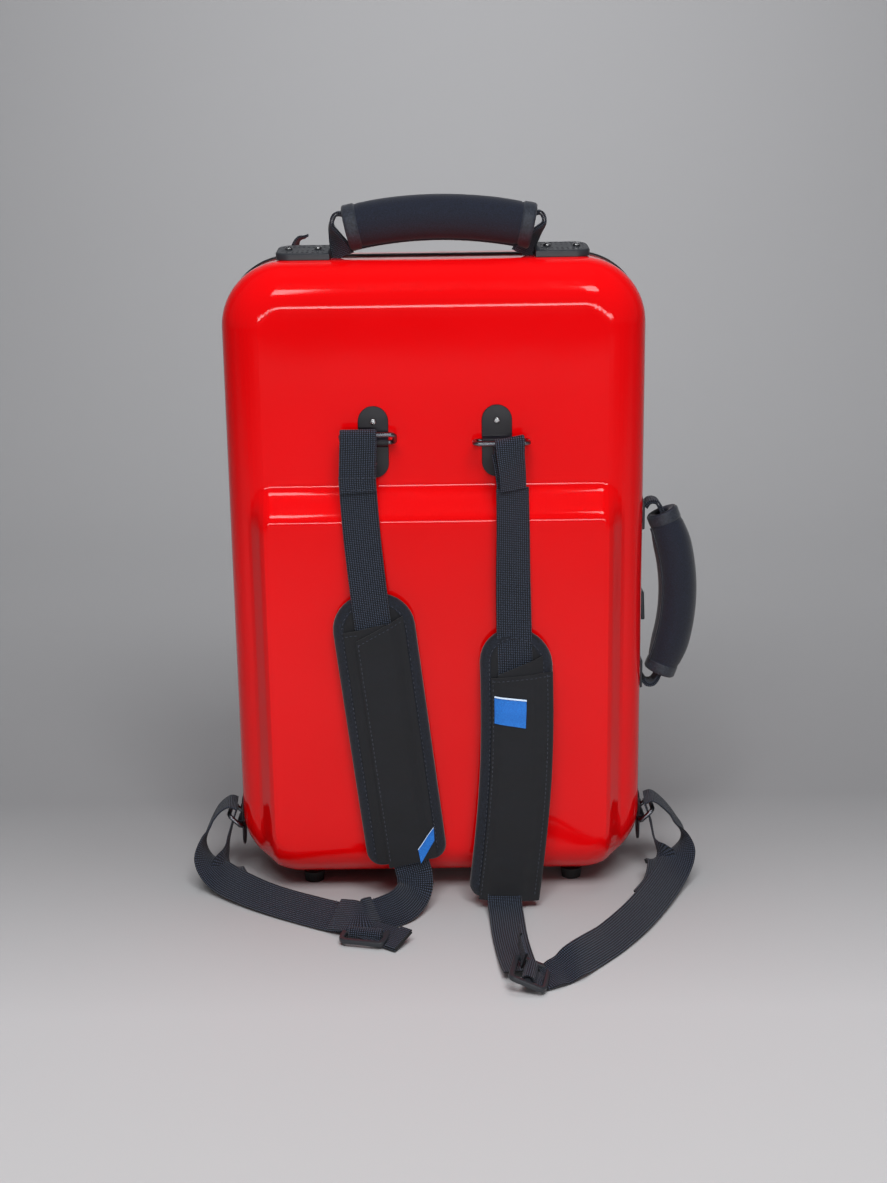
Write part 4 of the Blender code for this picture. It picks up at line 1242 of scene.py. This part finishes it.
def end_plate(name, side, replaces):
    """A handle's end plate on the shell's top: round outer end, sloping top, rows of holes."""
    inner, outer = side * 0.087, side * 0.133
    low, high = sorted((inner, outer))
    bm = block((low, -0.052, TOP + 0.0003), (high, -0.008, TOP + 0.0080))
    bevelled(bm, lambda e: runs(2)(e) and abs(e.verts[0].co.x - outer) < 1e-5, 0.013, 8)
    bevelled(bm, lambda e: all(v.co.z > TOP + 0.0079 for v in e.verts), 0.0020, 4)
    obj = from_bmesh(name, bm)
    holes = bmesh.new()
    for row in (-0.0155, -0.0080, 0.0080, 0.0155):
        for i in range(-4, 5):
            x = side * END_PLATE_X + 0.0043 * i
            if abs(x - outer) < 0.008 and abs(row) > 0.012:
                continue
            place = Matrix.Translation((x, HANDLE_Y + row, TOP + 0.0100))
            bmesh.ops.create_cone(
                holes, cap_ends=True, segments=12, radius1=0.00125, radius2=0.00125,
                depth=0.0110, matrix=place
            )
    obj = cut_out(obj, [from_bmesh("holes", holes)])
    for v in obj.data.vertices:
        rise = max(0.0, v.co.z - TOP - 0.0003) / 0.0077
        v.co.z += rise * (v.co.y - HANDLE_Y) / 0.022 * 0.0026
    return linked(obj, PLASTIC, CASE, (replaces,))


end_plate("top_end_plate_left", -1, "top_plate_left")
end_plate("top_end_plate_right", 1, "top_plate_right")


# ---- anchors, rings, screws
def anchor(name, width, length, matrix, replaces):
    """A coated steel plate with round ends, pressed up in the middle to hold a ring."""
    bm = bmesh.new()
    bmesh.ops.create_circle(bm, cap_ends=True, segments=64, radius=width / 2)
    for v in bm.verts:
        v.co.y += math.copysign((length - width) / 2, v.co.y + 1e-6)
    for i in range(-24, 25):
        bmesh.ops.bisect_plane(
            bm, geom=bm.verts[:] + bm.edges[:] + bm.faces[:], plane_co=(0, i * 0.0005, 0),
            plane_no=(0, 1, 0),
        )
    for v in bm.verts:
        arc = max(0.0, 0.0036**2 - v.co.y**2)
        v.co.z = 0.0020 + (0.0015 + math.sqrt(arc) if arc else 0.0)
        v.co.z -= 0.0005 * smoothstep(abs(v.co.y), 0.0034, 0.0044) if arc else 0.0
    obj = from_bmesh(name, bm, 60)
    modifier(obj, "SOLIDIFY", thickness=0.0016, offset=-1.0, use_even_offset=True)
    modifier(obj, "BEVEL", width=0.0005, segments=3, limit_method="ANGLE", angle_limit=0.9)
    obj = baked(obj, 35)
    obj.data.transform(matrix)
    return linked(obj, COATED, CASE, (replaces,))


def screw_head(name, matrix, surface, replaces, radius=0.0034, height=0.0022):
    """A pan head with a cross recess."""
    bm = bmesh.new()
    profile = [
        (0, 1.0), (0.35, 0.97), (0.66, 0.84), (0.88, 0.58), (0.98, 0.28), (1.0, 0.0), (0, 0),
    ]
    points = [bm.verts.new((radius * r, 0, height * h)) for r, h in profile]
    edges = [bm.edges.new(pair) for pair in zip(points, points[1:])]
    bmesh.ops.spin(
        bm, geom=points + edges, cent=(0, 0, 0), axis=(0, 0, 1), angle=2 * math.pi, steps=28,
        use_merge=True,
    )
    bmesh.ops.remove_doubles(bm, verts=bm.verts, dist=1e-6)
    obj = from_bmesh(name, bm)
    reaches = [(radius * wide, radius * deep) for wide, deep in ((0.52, 0.13), (0.13, 0.52))]
    slots = [block((-x, -y, height * 0.45), (x, y, height * 2)) for x, y in reaches]
    obj = cut_out(obj, [from_bmesh("cross", slot_cut) for slot_cut in slots])
    obj.data.transform(matrix)
    return linked(obj, surface, CASE, replaces)


def wire_ring(name, wide, deep, tilt, at, turn, body, replaces):
    """A bent wire ring with rounded corners."""
    corner, wire = 0.0045, 0.0020
    half = wide / 2 - wire
    points = []
    for x, y, start in (
        (half - corner, corner, 270), (half - corner, deep - corner, 0),
        (-half + corner, deep - corner, 90), (-half + corner, corner, 180),
    ):
        for i in range(9):
            a = math.radians(start + 90 * i / 8)
            points.append(Vector((x + corner * math.cos(a), y + corner * math.sin(a), 0)))
    lean = turn @ Matrix.Rotation(tilt, 4, "X")
    middle = Vector(at)
    routed = [middle + lean.to_3x3() @ p for p in points]
    normal = (lean.to_3x3() @ Vector((0, 0, 1))).normalized()
    bm = bmesh.new()
    sweep(bm, routed, [normal] * len(routed), round_section(wire, wire, 16), closed=True)
    return linked(from_bmesh(name, bm, 60), GUNMETAL, body, (replaces,))


FRONT = Matrix(((1, 0, 0, 0), (0, 0, -1, -REAR), (0, 1, 0, 0), (0, 0, 0, 1)))
OUTWARD = Matrix(((1, 0, 0, 0), (0, -1, 0, 0), (0, 0, -1, 0), (0, 0, 0, 1)))
for side, word, tilt, shift in ((-1, "left", 30, -0.0042), (1, "right", 2, 0.0035)):
    middle, twist = side * ANCHOR_X, Matrix.Rotation(0.5 * side, 4, "Z")
    anchor(
        f"anchor_plate_{word}", 0.0255, 0.061, Matrix.Translation((middle, 0, ANCHOR_Z)) @ FRONT,
        f"anchor_{word}",
    )
    for step, at in ((0.0175, "upper"), (-0.0175, "lower")):
        screw_head(
            f"anchor_screw_head_{word}_{at}",
            Matrix.Translation((middle, -0.0021, ANCHOR_Z + step)) @ FRONT @ twist, BRIGHT,
            (f"anchor_screw_{word}_{at}",), 0.0029, 0.0018,
        )
    wire_ring(
        f"wire_ring_{word}", 0.049, 0.018, -math.radians(tilt),
        (middle + shift, -REAR - 0.0027, ANCHOR_Z), OUTWARD, f"ring_{word}", f"ring_{word}",
    )
    outward = Matrix(
        (
            (0, 0, side, side * HALF), (side, 0, 0, SIDE_RING_Y), (0, 1, 0, SIDE_RING_Z),
            (0, 0, 0, 1),
        )
    )
    anchor(f"side_anchor_plate_{word}", 0.022, 0.046, outward, f"side_anchor_{word}")
    screw_head(
        f"side_screw_head_{word}", outward @ Matrix.Translation((0, 0.0135, 0.0021)), BRIGHT,
        (f"side_screw_{word}",), 0.0030, 0.0020,
    )
    wire_ring(
        f"side_wire_ring_{word}", 0.036, 0.015, math.radians(45),
        (side * (HALF + 0.0027), SIDE_RING_Y, SIDE_RING_Z),
        Matrix.Rotation(-side * math.pi / 2, 4, "Z"), f"side_ring_{word}", f"side_ring_{word}",
    )
    for step, at in ((-0.0125, "inner"), (0.0125, "outer")):
        screw_head(
            f"top_screw_head_{word}_{at}",
            Matrix.Translation((side * (END_PLATE_X + step), HANDLE_Y, TOP + 0.0084)), BRIGHT,
            (f"top_screw_{word}_{at}",),
        )


# ---- latch, tab, carried-over parts
def eased_block(name, low, high, radius, surface, body, replaces):
    bm = bevelled(block(low, high), lambda e: True, radius, 4)
    return linked(from_bmesh(name, bm, 50), surface, body, replaces)


def lever():
    """The latch's lever: thick at its lower end, thinner and rounded at the top."""
    bm = block((0.1833, -0.0223, 0.2310), (0.1871, 0.0185, 0.2570))
    for v in bm.verts:
        if v.co.z > 0.25 and v.co.x > 0.185:
            v.co.x -= 0.0010
    bevelled(bm, lambda e: True, 0.0013, 4)
    made = from_bmesh("latch_lever_handle", bm, 50)
    return linked(made, PLASTIC, "latch", ("latch_lever",))


lever()
WALL_X = HALF + 0.0003
eased_block(
    "latch_base_plate", (WALL_X, -0.0360, 0.2030), (WALL_X + 0.0016, -0.0082, 0.2570), 0.0006,
    BRIGHT, CASE, ("latch_base",),
)
eased_block(
    "latch_keeper_plate", (WALL_X, 0.0082, 0.2340), (WALL_X + 0.0026, 0.0200, 0.2540), 0.0008,
    BRIGHT, "lid", ("latch_keeper",),
)
for z, word in ((0.186, "lower"), (0.332, "upper")):
    eased_block(
        f"side_end_plate_{word}", (WALL_X, HANDLE_Y - 0.013, z - 0.013),
        (WALL_X + 0.0030, HANDLE_Y + 0.013, z + 0.013), 0.0013, PLASTIC, CASE,
        (f"side_plate_{word}",),
    )

bm = bmesh.new()
webbing_band(
    bm,
    [
        ((-0.1225, 0.0300, TOP + 0.0022), (0.2, 1, 0)),
        ((-0.1215, 0.0310, TOP + 0.0080), (0.2, 1, 0)),
        ((-0.1180, 0.0330, TOP + 0.0132), (0.2, 1, 0)),
        ((-0.1120, 0.0350, TOP + 0.0156), (0.2, 1, 0)),
    ],
    0.020, 0.0010, layers=2,
)
linked(from_bmesh("lid_tab_webbing", bm), NYLON, "lid", ("lid_tab",))

CARRIED = [(f"{half}_liner", PLUSH) for half in ("rear", "lid")]
CARRIED += [(f"foot_{half}_{at}", RUBBER) for half in ("rear", "lid") for at in ("left", "right")]
CARRIED += [
    (f"hinge_leaf_{half}_{at}", COATED) for half in ("case", "lid") for at in ("lower", "upper")
]
for name, surface in CARRIED:
    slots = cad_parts[name].data.materials
    slots.clear()
    slots.append(surface)


# ---- studio
def backdrop():
    """Seamless paper: a level floor that sweeps up behind. The paper is pale on the floor just in
    front of the case; painted shade darkens it towards the front of the floor, and from behind the
    case up the sweep.
    """
    bm = bmesh.new()
    bmesh.ops.create_grid(bm, x_segments=1, y_segments=1, size=1)
    for v in bm.verts:
        v.co = (v.co.x * 9, -6.0 if v.co.y < 0 else 1.3, 0)
    edge = [e for e in bm.edges if all(v.co.y > 1 for v in e.verts)]
    turned = bmesh.ops.spin(
        bm, geom=edge, cent=(0, 1.3, 1.8), axis=(1, 0, 0), angle=math.radians(90), steps=20,
    )["geom_last"]
    edge = [e for e in turned if isinstance(e, bmesh.types.BMEdge)]
    raised = bmesh.ops.extrude_edge_only(bm, edges=edge)["geom"]
    for v in raised:
        if isinstance(v, bmesh.types.BMVert):
            v.co.z = 7.0
    floor = from_bmesh("backdrop", bm, 180)
    scene.collection.objects.link(floor)
    made, tree, shader = material("studio_paper", "C4C4C6", 0.85)
    place = node(tree, "ShaderNodeTexCoord").outputs["Object"]
    parts = node(tree, "ShaderNodeSeparateXYZ", {"Vector": place})
    back = node(
        tree, "ShaderNodeMapRange",
        {"Value": parts.outputs["Y"], "From Min": -1.6, "From Max": 0.9},
    ).outputs["Result"]
    # Painted shade in the paper's colour: darker towards the front of the floor and from behind
    # the case up the sweep, pale only on the floor in front of the case.
    tree.links.new(
        ramp(
            tree, back,
            (
                (0.0, "8E8E90"), (0.36, "C6C6C7"), (0.52, "C4C4C6"), (0.70, "8F8F91"),
                (1.0, "939395"),
            ),
        ),
        shader.inputs["Base Color"],
    )
    floor.data.materials.append(made)


def soft_light(name, at, aim, size, power, mirrored):
    """A rectangular soft box; mirrored says whether gloss shows it."""
    light = bpy.data.lights.new(name, "AREA")
    light.shape = "RECTANGLE"
    light.size, light.size_y = size
    light.energy = power
    obj = bpy.data.objects.new(name, light)
    obj.location = at
    obj.rotation_euler = (Vector(aim) - Vector(at)).to_track_quat("-Z", "Y").to_euler()
    obj.visible_glossy = mirrored
    scene.collection.objects.link(obj)


backdrop()
soft_light("key", (0.1, -1.7, 2.6), (0, 0, 0.25), (1.5, 1.1), 53, False)
soft_light("overhead", (0.1, 0.0, 2.6), (0, -0.2, 0), (1.4, 1.0), 14, False)
soft_light("backdrop_glow", (0.1, 0.9, 2.3), (0.05, 3.0, 1.5), (0.7, 0.5), 60, False)
soft_light("level_strip", (0.15, -4.4, 0.62), (0, 0, 0.55), (4.2, 0.30), 46, True)
soft_light("left_box", (-0.56, -1.9, 2.1), (-0.1, 0, 0.4), (0.50, 0.50), 7.5, True)
soft_light("right_box", (0.66, -1.9, 2.1), (0.1, 0, 0.4), (0.64, 0.50), 9.5, True)
air = bpy.data.worlds.new("studio_air")
scene.world = air
air.use_nodes = True
air.node_tree.nodes["Background"].inputs["Color"].default_value = colour("C8CACE")
air.node_tree.nodes["Background"].inputs["Strength"].default_value = 0.16
scene.view_settings.view_transform = "Standard"
